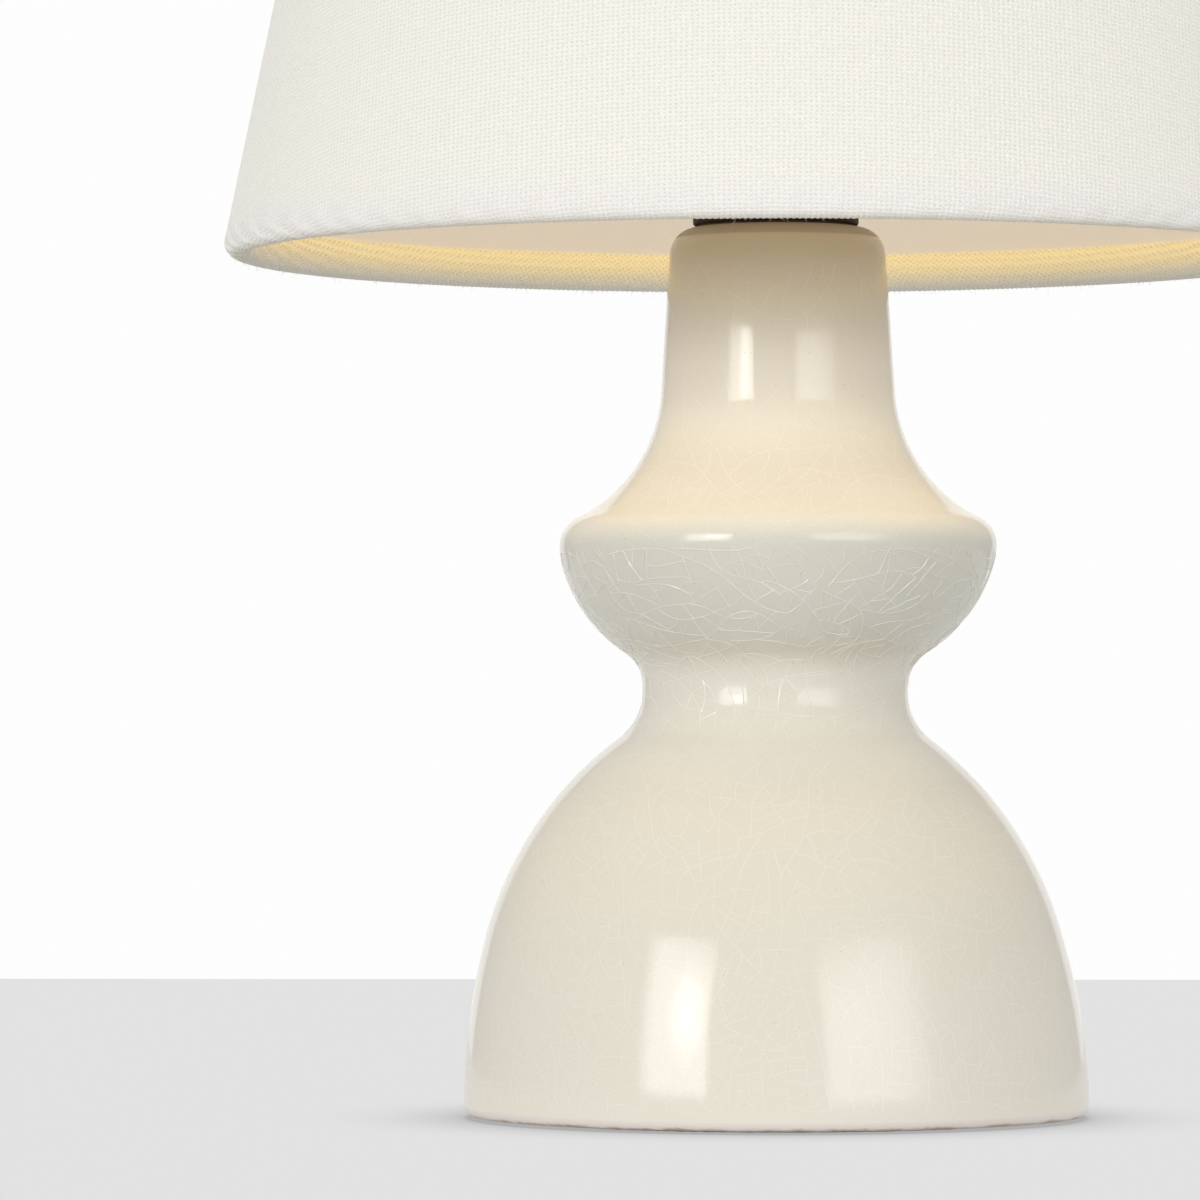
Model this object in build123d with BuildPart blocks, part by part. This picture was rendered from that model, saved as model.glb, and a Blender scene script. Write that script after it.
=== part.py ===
from build123d import *
import os
from math import atan, cos, sin

os.makedirs("parts", exist_ok=True)

# Cordless table lamp with a turned, glazed ceramic body and a tapered shade of woven cloth.
# Millimetres, +Z up, the origin on the table under the middle of the foot, the front towards -Y.

# Clearances, all on the radius or on one side
RUNNING_FIT = 0.05
SLIP_FIT = 0.2
LOOSE_FIT = 0.4
SKIN_FIT = 0.02
RING_FIT = 0.1

# Ceramic body: radii, heights above its own foot, and the coves as shares of the waist's straight length
FOOT_RADIUS = 50.5
FOOT_EDGE = 1.6
LOWER_WALL_ARC = 110.0
BELLY_RADIUS = 46.9
BELLY_HEIGHT = 27.75
DOME_ARC = 58.8
WAIST_RADIUS = 21.45
WAIST_LOW_HEIGHT = 63.3
WAIST_LOW_COVE_SHARE = 0.92
WAIST_HIGH_HEIGHT = 73.05
WAIST_HIGH_COVE_SHARE = 0.66
BOWL_ARC = 24.4
RIM_RADIUS = 35.6
RIM_HEIGHT = 95.15
RIM_EDGE = 5.0
SHOULDER_ARC = 24.25
NECK_FOOT_RADIUS = 18.9
NECK_FOOT_HEIGHT = 116.5
NECK_TOP_RADIUS = 17.2
NECK_TOP_EDGE = 4.5
BODY_HEIGHT = 143.3
BODY_WALL = 5.0
NECK_ROOF = 6.0
SEAT_WIDTH = 3.1

# Base plate and felt pad
FOOT_GAP = 0.4
PAD_THICKNESS = 1.4
PAD_MARGIN = 1.2
PLATE_RADIUS = 45.6
PLATE_THICKNESS = 3.0
POCKET_RADIUS = 11.0
POCKET_WALL = 2.2
POCKET_HEIGHT = 6.4
POCKET_ROOF = 2.5

# Centre tube with its nut and washer
TUBE_RADIUS = 5.0
TUBE_BORE = 3.5
TUBE_BELOW_NUT = 0.6
NUT_FLATS = 14.0
NUT_HEIGHT = 4.0
WASHER_RADIUS = 9.0
WASHER_THICKNESS = 1.2

# Battery cells and their cradle
CELL_RADIUS = 9.2
CELL_LENGTH = 65.2
CELL_TUBE_GAP = 1.8
CELL_RISE = 4.3
CELL_EDGE = 1.0
CELL_CAP_RADIUS = 4.2
CELL_CAP_HEIGHT = 0.8
CLIP_CENTRE = 24.0
CLIP_THICKNESS = 3.0
CLIP_WALL = 2.1
CLIP_RISE = 5.0
CLIP_MOUTH = 14.5
SPINE_THICKNESS = 2.0
SPINE_WIDTH = 20.0
LEAD_NOTCH = 9.0
TAB_LENGTH = 8.0
TAB_WIDTH = 8.0
TAB_THICKNESS = 3.0
TAB_OFFSET = 10.0
STRIP_THICKNESS = 0.3
STRIP_WIDTH = 6.0

# Small screws
SCREW_RADIUS = 1.2
SCREW_HEAD_RADIUS = 2.3
SCREW_HEAD_HEIGHT = 1.5
SCREW_DEPTH = 2.2

# Control board and what it carries
BOARD_LENGTH = 38.0
BOARD_WIDTH = 20.0
BOARD_THICKNESS = 1.6
BOARD_GAP = 2.3
BOARD_CORNER = 1.5
STANDOFF_RADIUS = 2.6
STANDOFF_HEIGHT = 4.6
STANDOFF_INSET = 2.8
CONTROL_SPACING = 18.0
# Place from the board's middle, length and width, and height of each block on its upper face
BOARD_BLOCKS = (
    ((9.0, 2.0), (6.0, 6.0), 3.0),
    ((-3.0, 0.5), (5.0, 4.0), 1.2),
    ((-10.5, 3.0), (3.0, 3.0), 1.0),
    ((3.0, -4.0), (3.2, 1.6), 0.9),
    ((-4.5, -5.5), (3.2, 1.6), 0.9),
)
CAPACITOR_PLACE = (1.5, 6.0)
CAPACITOR_RADIUS = 2.5
CAPACITOR_HEIGHT = 5.5

# Charging socket
SOCKET_LENGTH = 8.94
SOCKET_WIDTH = 3.26
SOCKET_WALL = 0.3
SOCKET_LIFT = 0.3
TONGUE_LENGTH = 6.7
TONGUE_THICKNESS = 0.7
TONGUE_RECESS = 0.6
PLUG_LENGTH = 13.0
PLUG_WIDTH = 7.2
PLUG_CORNER = 2.4
PAD_CUT_MARGIN = 1.6

# Push switch and button
BUTTON_RADIUS = 5.0
BUTTON_RECESS = 1.0
BUTTON_DISH = 0.5
BUTTON_FLANGE = 1.4
BUTTON_FLANGE_THICKNESS = 1.0
BUTTON_GAP = 0.15
BUTTON_TRAVEL = 1.0
STEM_RADIUS = 1.6
STEM_ENTRY = 0.4
SWITCH_SIZE = 6.2
SWITCH_ROOF = 0.4
LIGHT_PIPE_RADIUS = 1.2
LIGHT_PIPE_SETBACK = 2.5
LIGHT_PIPE_RECESS = 0.2

# Insulated wires
LEAD_RADIUS = 0.6
LEAD_BEND = 1.2
LEAD_LIFT = 1.0
LIGHT_LEAD_X = 7.0
LIGHT_LEAD_BORE_X = 1.3
LIGHT_LEAD_PAD_X = 8.0
BATTERY_LEAD_X = 13.0
BATTERY_LEAD_DROP = 3.0
LEAD_HOLE_MARGIN = 0.4

# Neck cap and gasket
GASKET_RADIUS = 12.8
GASKET_THICKNESS = 0.3
CAP_RADIUS = 13.4
CAP_HEIGHT = 5.3
CAP_EDGE = 0.5

# Light housing, board, chips and diffuser
HOUSING_RADIUS = 21.0
HOUSING_FLOOR = 2.5
HOUSING_HEIGHT = 11.0
HOUSING_WALL = 1.8
LIGHT_BOARD_THICKNESS = 1.6
CHIP_COUNT = 12
CHIP_RING_RADIUS = 13.5
CHIP_LENGTH = 3.5
CHIP_WIDTH = 2.8
CHIP_HEIGHT = 0.7
LIGHT_SCREW_RING_RADIUS = 9.5
DIFFUSER_WALL = 1.5
DIFFUSER_LIP = 5.0
DIFFUSER_STRAIGHT = 12.0
DIFFUSER_DOME = 14.0
DIFFUSER_TOP_RADIUS = 9.5

# Shade
SHADE_BOTTOM = 138.8
SHADE_HEIGHT = 127.0
SHADE_RADIUS = 89.0
SHADE_TAPER = 0.2053
CLOTH_THICKNESS = 0.7
LINING_THICKNESS = 0.5
RING_WIRE = 1.5
HEM_FOLD = 4.1
LINING_SETBACK = 1.6
ARM_COUNT = 3
ARM_BEND = 8.0
ARM_FLAT = 22.0
ARM_NOTCH = 5.0
HUB_RADIUS = 11.0
HUB_THICKNESS = 1.6
HUB_DROP = 10.0

# Post, washer and finial
POST_FLANGE_RADIUS = 8.5
POST_FLANGE_THICKNESS = 2.5
POST_SLEEVE_RADIUS = 7.0
POST_SLEEVE_HEIGHT = 9.0
POST_SLEEVE_ROOF = 3.0
POST_ROD_RADIUS = 4.0
POST_SHOULDER_RADIUS = 7.5
POST_SHOULDER_THICKNESS = 2.5
STUD_RADIUS = 3.1
STUD_ABOVE_HUB = 11.0
SHADE_WASHER_RADIUS = 8.0
SHADE_WASHER_THICKNESS = 1.0
FINIAL_BASE_RADIUS = 7.0
FINIAL_BASE_HEIGHT = 2.2
FINIAL_NECK_RADIUS = 4.6
FINIAL_NECK_HEIGHT = 3.2
FINIAL_BALL_RADIUS = 7.2
FINIAL_BORE_SPARE = 0.7

# Heights above the table that follow from these
plate_bottom = PAD_THICKNESS
plate_top = plate_bottom + PLATE_THICKNESS
pocket_roof = plate_bottom + POCKET_HEIGHT
pocket_top = pocket_roof + POCKET_ROOF
pocket_outside = POCKET_RADIUS + POCKET_WALL
body_top = FOOT_GAP + BODY_HEIGHT
cap_bottom = body_top + GASKET_THICKNESS
housing_bottom = cap_bottom + CAP_HEIGHT
light_board_bottom = housing_bottom + HOUSING_FLOOR
light_board_top = light_board_bottom + LIGHT_BOARD_THICKNESS
housing_top = housing_bottom + HOUSING_HEIGHT
dome_foot = housing_top + DIFFUSER_STRAIGHT
diffuser_top = dome_foot + DIFFUSER_DOME
shade_top = SHADE_BOTTOM + SHADE_HEIGHT
hub_bottom = shade_top - HUB_DROP
hub_top = hub_bottom + HUB_THICKNESS
post_shoulder_top = hub_bottom - SHADE_WASHER_THICKNESS
tube_top = diffuser_top + POST_SLEEVE_HEIGHT
nut_bottom = pocket_roof - WASHER_THICKNESS - NUT_HEIGHT
tube_bottom = nut_bottom - TUBE_BELOW_NUT
cell_y = TUBE_RADIUS + CELL_TUBE_GAP + CELL_RADIUS
cell_z = pocket_top + CELL_RISE + CELL_RADIUS
board_bottom = plate_top + STANDOFF_HEIGHT
board_top = board_bottom + BOARD_THICKNESS
board_y = pocket_outside + BOARD_GAP + BOARD_WIDTH / 2
lead_z = pocket_top + SPINE_THICKNESS + LEAD_RADIUS + LEAD_LIFT / 2
lead_pad_y = board_y - BOARD_WIDTH / 2 + 2 * LEAD_RADIUS
light_lead_exit = light_board_top + LEAD_RADIUS + LEAD_LIFT

# Places that several pieces share
board_screw_places = [
    (side * (BOARD_LENGTH / 2 - STANDOFF_INSET), board_y + end * (BOARD_WIDTH / 2 - STANDOFF_INSET))
    for side in (-1, 1)
    for end in (-1, 1)
]
tab_x = CLIP_CENTRE + CLIP_THICKNESS / 2 + TAB_LENGTH / 2
tab_places = [(side * tab_x, end * TAB_OFFSET) for side in (-1, 1) for end in (-1, 1)]
socket_place = (-CONTROL_SPACING / 2, board_y)
button_place = (CONTROL_SPACING / 2, board_y)
light_pipe_place = (0, board_y + BOARD_WIDTH / 2 - LIGHT_PIPE_SETBACK)


def save(piece, name):
    """Label a finished piece and write it under its own name."""
    piece.part.label = name
    export_step(piece.part, f"parts/{name}.step")


def turned(points):
    """A piece turned about the lamp's axis from a closed outline of radius and height pairs."""
    with BuildPart() as piece:
        with BuildSketch(Plane.XZ):
            with BuildLine():
                Polyline(*points, close=True)
            make_face()
        revolve(axis=Axis.Z)
    return piece


def washer(inner, outer, bottom, thickness):
    """A flat ring about the lamp's axis."""
    return turned(
        [(inner, bottom), (outer, bottom), (outer, bottom + thickness), (inner, bottom + thickness)]
    )


def pan_screws(places, seat, grip):
    """A set of small pan-head screws, each head on its seat and its shank grip long below that."""
    with BuildPart() as screws:
        with BuildSketch(Plane.XY.offset(seat)):
            with Locations(*places):
                Circle(SCREW_HEAD_RADIUS)
        extrude(amount=SCREW_HEAD_HEIGHT)
        with BuildSketch(Plane.XY.offset(seat)):
            with Locations(*places):
                Circle(SCREW_RADIUS)
        extrude(amount=-grip)
        with BuildSketch(Plane.XY.offset(seat + SCREW_HEAD_HEIGHT)):
            with Locations(*places):
                Rectangle(2 * SCREW_RADIUS, SCREW_RADIUS / 2)
                Rectangle(SCREW_RADIUS / 2, 2 * SCREW_RADIUS)
        extrude(amount=-SCREW_HEAD_HEIGHT / 2, mode=Mode.SUBTRACT)
    return screws


def body_lines(inset):
    """Lines of the body's turned outline, moved towards the axis by inset, inside a line builder."""
    foot = (FOOT_RADIUS - inset, FOOT_GAP)
    belly = (BELLY_RADIUS - inset, FOOT_GAP + BELLY_HEIGHT)
    waist_low = (WAIST_RADIUS - inset, FOOT_GAP + WAIST_LOW_HEIGHT)
    waist_high = (WAIST_RADIUS - inset, FOOT_GAP + WAIST_HIGH_HEIGHT)
    rim = (RIM_RADIUS - inset, FOOT_GAP + RIM_HEIGHT)
    neck_foot = (NECK_FOOT_RADIUS - inset, FOOT_GAP + NECK_FOOT_HEIGHT)
    neck_top = (NECK_TOP_RADIUS - inset, body_top)
    RadiusArc(foot, belly, -LOWER_WALL_ARC)
    RadiusArc(belly, waist_low, -DOME_ARC)
    Line(waist_low, waist_high)
    RadiusArc(waist_high, rim, -BOWL_ARC)
    RadiusArc(rim, neck_foot, SHOULDER_ARC)
    Line(neck_foot, neck_top)
    Polyline(neck_top, (0, body_top), (0, FOOT_GAP), foot)


def dome_lines(radius, foot, top):
    """Lines of the diffuser's outline, a straight wall and the dome on it, inside a line builder."""
    Line((radius, foot), (radius, dome_foot))
    EllipticalCenterArc(
        (DIFFUSER_TOP_RADIUS, dome_foot),
        radius - DIFFUSER_TOP_RADIUS,
        top - dome_foot,
        start_angle=0,
        arc_size=90,
    )


def upright(angle):
    """The plane of radius and height that stands at this angle about the lamp's axis."""
    radial = Vector(1, 0, 0).rotate(Axis.Z, angle)
    return Plane(origin=(0, 0, 0), x_dir=radial, z_dir=radial.cross(Vector(0, 0, 1)))


# Ceramic body
seat_bore = PLATE_RADIUS - SEAT_WIDTH
waist_length = WAIST_HIGH_HEIGHT - WAIST_LOW_HEIGHT
with BuildPart() as ceramic_body:
    with BuildSketch(Plane.XZ) as outside:
        with BuildLine():
            body_lines(0)
        make_face()
        for radius, height, edge in (
            (FOOT_RADIUS, 0, FOOT_EDGE),
            (WAIST_RADIUS, WAIST_LOW_HEIGHT, WAIST_LOW_COVE_SHARE * waist_length),
            (WAIST_RADIUS, WAIST_HIGH_HEIGHT, WAIST_HIGH_COVE_SHARE * waist_length),
            (RIM_RADIUS, RIM_HEIGHT, RIM_EDGE),
            (NECK_TOP_RADIUS, BODY_HEIGHT, NECK_TOP_EDGE),
        ):
            corner = outside.vertices().sort_by_distance((radius, FOOT_GAP + height))[0]
            fillet(corner, edge)
    revolve(axis=Axis.Z)
    with BuildSketch(Plane.XZ):
        with BuildLine():
            body_lines(BODY_WALL)
        make_face()
        with Locations((0, plate_top)):
            Rectangle(
                seat_bore,
                body_top - NECK_ROOF - plate_top,
                align=(Align.MIN, Align.MIN),
                mode=Mode.INTERSECT,
            )
    revolve(axis=Axis.Z, mode=Mode.SUBTRACT)
    with BuildSketch():
        Circle(PLATE_RADIUS + LOOSE_FIT)
    extrude(amount=plate_top, mode=Mode.SUBTRACT)
    with BuildSketch(Plane.XY.offset(body_top)):
        Circle(TUBE_RADIUS + LOOSE_FIT)
    extrude(amount=-2 * NECK_ROOF, mode=Mode.SUBTRACT)
save(ceramic_body, "ceramic_body")

# Felt pad that the lamp stands on
with BuildPart() as foot_pad:
    with BuildSketch():
        Circle(PLATE_RADIUS - PAD_MARGIN)
        with Locations(socket_place):
            RectangleRounded(
                PLUG_LENGTH + 2 * PAD_CUT_MARGIN,
                PLUG_WIDTH + 2 * PAD_CUT_MARGIN,
                PLUG_CORNER,
                mode=Mode.SUBTRACT,
            )
        with Locations(button_place):
            Circle(BUTTON_RADIUS + PAD_CUT_MARGIN, mode=Mode.SUBTRACT)
        with Locations(light_pipe_place):
            Circle(LIGHT_PIPE_RADIUS + PAD_CUT_MARGIN / 2, mode=Mode.SUBTRACT)
    extrude(amount=PAD_THICKNESS)
save(foot_pad, "foot_pad")

# Base plate with the nut's pocket, the board's standoffs and the holes for the controls
with BuildPart() as base_plate:
    with BuildSketch(Plane.XY.offset(plate_bottom)):
        Circle(PLATE_RADIUS)
    extrude(amount=PLATE_THICKNESS)
    with BuildSketch(Plane.XY.offset(plate_bottom)):
        Circle(pocket_outside)
    extrude(amount=POCKET_HEIGHT + POCKET_ROOF)
    with BuildSketch(Plane.XY.offset(plate_bottom)):
        Circle(POCKET_RADIUS)
    extrude(amount=POCKET_HEIGHT, mode=Mode.SUBTRACT)
    with BuildSketch(Plane.XY.offset(pocket_top)):
        Circle(TUBE_RADIUS + SLIP_FIT)
    extrude(amount=-2 * POCKET_ROOF, mode=Mode.SUBTRACT)
    with BuildSketch(Plane.XY.offset(plate_top)):
        with Locations(*board_screw_places):
            Circle(STANDOFF_RADIUS)
    extrude(amount=STANDOFF_HEIGHT)
    with BuildSketch(Plane.XY.offset(board_bottom)):
        with Locations(*board_screw_places):
            Circle(SCREW_RADIUS)
    extrude(amount=-SCREW_DEPTH, mode=Mode.SUBTRACT)
    with BuildSketch(Plane.XY.offset(plate_top)):
        with Locations(*tab_places):
            Circle(SCREW_RADIUS)
    extrude(amount=-SCREW_DEPTH, mode=Mode.SUBTRACT)
    with BuildSketch(Plane.XY.offset(plate_top)):
        with Locations(socket_place):
            RectangleRounded(PLUG_LENGTH, PLUG_WIDTH, PLUG_CORNER)
        with Locations(button_place):
            Circle(BUTTON_RADIUS + SLIP_FIT)
        with Locations(light_pipe_place):
            Circle(LIGHT_PIPE_RADIUS)
    extrude(amount=-PLATE_THICKNESS, mode=Mode.SUBTRACT)
save(base_plate, "base_plate")

# Centre tube, with a cross hole near each end for the light's wires
with BuildPart() as centre_tube:
    with BuildSketch(Plane.XY.offset(tube_bottom)):
        Circle(TUBE_RADIUS)
        Circle(TUBE_BORE, mode=Mode.SUBTRACT)
    extrude(amount=tube_top - tube_bottom)
    with BuildSketch(Plane.YZ):
        with Locations((0, lead_z), (0, light_lead_exit)):
            Circle(LEAD_RADIUS + LEAD_HOLE_MARGIN)
    extrude(amount=TUBE_RADIUS, both=True, mode=Mode.SUBTRACT)
save(centre_tube, "centre_tube")

# Washer and nut in the plate's pocket
tube_washer = washer(
    TUBE_RADIUS + SLIP_FIT, WASHER_RADIUS, pocket_roof - WASHER_THICKNESS, WASHER_THICKNESS
)
save(tube_washer, "tube_washer")
with BuildPart() as tube_nut:
    with BuildSketch(Plane.XY.offset(nut_bottom)):
        RegularPolygon(NUT_FLATS / 2, 6, major_radius=False)
        Circle(TUBE_RADIUS, mode=Mode.SUBTRACT)
    extrude(amount=NUT_HEIGHT)
save(tube_nut, "tube_nut")

# Battery cells, one on each side of the tube, lying along X
for name, side, head in (("battery_cell_front", -1, 1), ("battery_cell_rear", 1, -1)):
    with BuildPart() as cell:
        with BuildSketch(Plane.YZ.offset(-CELL_LENGTH / 2)):
            with Locations((side * cell_y, cell_z)):
                Circle(CELL_RADIUS)
        extrude(amount=CELL_LENGTH)
        chamfer(cell.edges().filter_by(GeomType.CIRCLE), CELL_EDGE)
        with BuildSketch(Plane.YZ.offset(head * CELL_LENGTH / 2)):
            with Locations((side * cell_y, cell_z)):
                Circle(CELL_CAP_RADIUS)
        extrude(amount=head * CELL_CAP_HEIGHT)
    save(cell, name)

# Cradle: two clip walls for the cells, a spine over the pocket and four screw tabs
clip_half_width = cell_y + CELL_RADIUS + CLIP_WALL
clip_top = cell_z + CLIP_RISE
with BuildPart() as battery_cradle:
    for side in (-1, 1):
        with BuildSketch(Plane.YZ.offset(side * CLIP_CENTRE)):
            with Locations((0, plate_top)):
                Rectangle(2 * clip_half_width, clip_top - plate_top, align=(Align.CENTER, Align.MIN))
            with Locations((-cell_y, cell_z), (cell_y, cell_z)):
                Circle(CELL_RADIUS + SLIP_FIT, mode=Mode.SUBTRACT)
                Rectangle(
                    CLIP_MOUTH,
                    2 * CELL_RADIUS,
                    align=(Align.CENTER, Align.MIN),
                    mode=Mode.SUBTRACT,
                )
            with Locations((0, pocket_top + SPINE_THICKNESS)):
                Rectangle(LEAD_NOTCH, clip_top, align=(Align.CENTER, Align.MIN), mode=Mode.SUBTRACT)
        extrude(amount=CLIP_THICKNESS / 2, both=True)
    with BuildSketch(Plane.XY.offset(pocket_top)):
        Rectangle(2 * CLIP_CENTRE, SPINE_WIDTH)
        Circle(TUBE_RADIUS + LOOSE_FIT, mode=Mode.SUBTRACT)
    extrude(amount=SPINE_THICKNESS)
    with BuildSketch(Plane.XY.offset(plate_top)):
        with Locations(*tab_places):
            Rectangle(TAB_LENGTH, TAB_WIDTH)
    extrude(amount=TAB_THICKNESS)
    with BuildSketch(Plane.XY.offset(plate_top)):
        with Locations(*tab_places):
            Circle(SCREW_RADIUS)
    extrude(amount=TAB_THICKNESS, mode=Mode.SUBTRACT)
save(battery_cradle, "battery_cradle")
cradle_screws = pan_screws(tab_places, plate_top + TAB_THICKNESS, TAB_THICKNESS + SCREW_DEPTH)
save(cradle_screws, "cradle_screws")

# Nickel strips across the cells' ends
strip_face = CELL_LENGTH / 2 + CELL_CAP_HEIGHT
with BuildPart() as cell_tabs:
    for side in (-1, 1):
        with BuildSketch(Plane.YZ.offset(side * strip_face)):
            with Locations((0, cell_z)):
                SlotOverall(2 * (cell_y + STRIP_WIDTH), STRIP_WIDTH)
        extrude(amount=side * STRIP_THICKNESS)
save(cell_tabs, "cell_tabs")

# Control board on its standoffs
with BuildPart() as control_board:
    with BuildSketch(Plane.XY.offset(board_bottom)):
        with Locations((0, board_y)):
            RectangleRounded(BOARD_LENGTH, BOARD_WIDTH, BOARD_CORNER)
        with Locations(*board_screw_places):
            Circle(SCREW_RADIUS, mode=Mode.SUBTRACT)
    extrude(amount=BOARD_THICKNESS)
save(control_board, "control_board")
board_screws = pan_screws(board_screw_places, board_top, BOARD_THICKNESS + SCREW_DEPTH)
save(board_screws, "board_screws")

# Parts on the board's upper face: the square blocks, then the round capacitor
with BuildPart() as board_parts:
    for (x, y), (length, width), height in BOARD_BLOCKS:
        with BuildSketch(Plane.XY.offset(board_top)):
            with Locations((x, board_y + y)):
                Rectangle(length, width)
        extrude(amount=height)
    with BuildSketch(Plane.XY.offset(board_top)):
        with Locations((CAPACITOR_PLACE[0], board_y + CAPACITOR_PLACE[1])):
            Circle(CAPACITOR_RADIUS)
    extrude(amount=CAPACITOR_HEIGHT)
save(board_parts, "board_parts")

# Charging socket under the board: its metal shell and the contact tongue inside
socket_mouth = plate_top + SOCKET_LIFT
with BuildPart() as charge_socket:
    with BuildSketch(Plane.XY.offset(socket_mouth)):
        with Locations(socket_place):
            SlotOverall(SOCKET_LENGTH, SOCKET_WIDTH)
    extrude(amount=board_bottom - socket_mouth)
    with BuildSketch(Plane.XY.offset(socket_mouth)):
        with Locations(socket_place):
            SlotOverall(SOCKET_LENGTH - 2 * SOCKET_WALL, SOCKET_WIDTH - 2 * SOCKET_WALL)
    extrude(amount=board_bottom - socket_mouth - SOCKET_WALL, mode=Mode.SUBTRACT)
save(charge_socket, "charge_socket")
with BuildPart() as charge_tongue:
    with BuildSketch(Plane.XY.offset(socket_mouth + TONGUE_RECESS)):
        with Locations(socket_place):
            Rectangle(TONGUE_LENGTH, TONGUE_THICKNESS)
    extrude(amount=board_bottom - SOCKET_WALL - socket_mouth - TONGUE_RECESS)
save(charge_tongue, "charge_tongue")

# Push switch under the board, bored for the button's stem
flange_bottom = plate_top + BUTTON_GAP
flange_top = flange_bottom + BUTTON_FLANGE_THICKNESS
switch_bottom = flange_top + BUTTON_TRAVEL + BUTTON_GAP
with BuildPart() as switch_case:
    with BuildSketch(Plane.XY.offset(switch_bottom)):
        with Locations(button_place):
            Rectangle(SWITCH_SIZE, SWITCH_SIZE)
            Circle(STEM_RADIUS + SLIP_FIT, mode=Mode.SUBTRACT)
    extrude(amount=board_bottom - switch_bottom - SWITCH_ROOF)
    with BuildSketch(Plane.XY.offset(board_bottom - SWITCH_ROOF)):
        with Locations(button_place):
            Rectangle(SWITCH_SIZE, SWITCH_SIZE)
    extrude(amount=SWITCH_ROOF)
save(switch_case, "switch_case")

# Button: a dished cap through the plate, a flange above it and a stem into the switch
with BuildPart() as power_button:
    with BuildSketch(Plane.XY.offset(BUTTON_RECESS)):
        with Locations(button_place):
            Circle(BUTTON_RADIUS)
    extrude(amount=flange_bottom - BUTTON_RECESS)
    chamfer(power_button.edges().group_by(Axis.Z)[0], BUTTON_DISH)
    with BuildSketch(Plane.XY.offset(flange_bottom)):
        with Locations(button_place):
            Circle(BUTTON_RADIUS + BUTTON_FLANGE)
    extrude(amount=BUTTON_FLANGE_THICKNESS)
    with BuildSketch(Plane.XY.offset(flange_top)):
        with Locations(button_place):
            Circle(STEM_RADIUS)
    extrude(amount=switch_bottom + STEM_ENTRY - flange_top)
save(power_button, "power_button")

# Clear rod from the board's charging lamp to the underside
with BuildPart() as charge_light_pipe:
    with BuildSketch(Plane.XY.offset(plate_bottom + LIGHT_PIPE_RECESS)):
        with Locations(light_pipe_place):
            Circle(LIGHT_PIPE_RADIUS)
    extrude(amount=board_bottom - plate_bottom - LIGHT_PIPE_RECESS)
save(charge_light_pipe, "charge_light_pipe")

# Wires from the strips to the board, along the gap between the cells
battery_lead_z = cell_z - BATTERY_LEAD_DROP
with BuildPart() as battery_leads:
    for side in (-1, 1):
        with BuildLine() as route:
            FilletPolyline(
                (side * strip_face, 0, battery_lead_z),
                (side * BATTERY_LEAD_X, 0, battery_lead_z),
                (side * BATTERY_LEAD_X, 0, lead_z),
                (side * BATTERY_LEAD_X, lead_pad_y, lead_z),
                (side * BATTERY_LEAD_X, lead_pad_y, board_top),
                radius=LEAD_BEND,
            )
        with BuildSketch(route.line ^ 0):
            Circle(LEAD_RADIUS)
        sweep(path=route.line)
save(battery_leads, "battery_leads")

# Wires from the board through the tube to the light board
with BuildPart() as light_leads:
    for side in (-1, 1):
        with BuildLine() as route:
            FilletPolyline(
                (side * LIGHT_LEAD_X, lead_pad_y, board_top),
                (side * LIGHT_LEAD_X, lead_pad_y, lead_z),
                (side * LIGHT_LEAD_X, 0, lead_z),
                (side * LIGHT_LEAD_BORE_X, 0, lead_z),
                (side * LIGHT_LEAD_BORE_X, 0, light_lead_exit),
                (side * LIGHT_LEAD_PAD_X, 0, light_lead_exit),
                (side * LIGHT_LEAD_PAD_X, 0, light_board_top),
                radius=LEAD_BEND,
            )
        with BuildSketch(route.line ^ 0):
            Circle(LEAD_RADIUS)
        sweep(path=route.line)
save(light_leads, "light_leads")

# Gasket and cap on the neck
neck_gasket = washer(TUBE_RADIUS + SLIP_FIT, GASKET_RADIUS, body_top, GASKET_THICKNESS)
save(neck_gasket, "neck_gasket")
with BuildPart() as neck_cap:
    with BuildSketch(Plane.XY.offset(cap_bottom)):
        Circle(CAP_RADIUS)
    extrude(amount=CAP_HEIGHT)
    fillet(neck_cap.edges(), CAP_EDGE)
    with BuildSketch(Plane.XY.offset(cap_bottom)):
        Circle(TUBE_RADIUS + SLIP_FIT)
    extrude(amount=CAP_HEIGHT, mode=Mode.SUBTRACT)
save(neck_cap, "neck_cap")

# Light housing: a cup on the cap that takes the board's heat
housing_bore = HOUSING_RADIUS - HOUSING_WALL
light_screw_places = [(0, side * LIGHT_SCREW_RING_RADIUS) for side in (-1, 1)]
with BuildPart() as light_housing:
    with BuildSketch(Plane.XY.offset(housing_bottom)):
        Circle(HOUSING_RADIUS)
    extrude(amount=HOUSING_HEIGHT)
    chamfer(light_housing.edges().group_by(Axis.Z)[0], HOUSING_WALL / 2)
    with BuildSketch(Plane.XY.offset(light_board_bottom)):
        Circle(housing_bore)
    extrude(amount=HOUSING_HEIGHT, mode=Mode.SUBTRACT)
    with BuildSketch(Plane.XY.offset(light_board_bottom)):
        Circle(TUBE_RADIUS + SLIP_FIT)
        with Locations(*light_screw_places):
            Circle(SCREW_RADIUS)
    extrude(amount=-HOUSING_FLOOR, mode=Mode.SUBTRACT)
save(light_housing, "light_housing")

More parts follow.
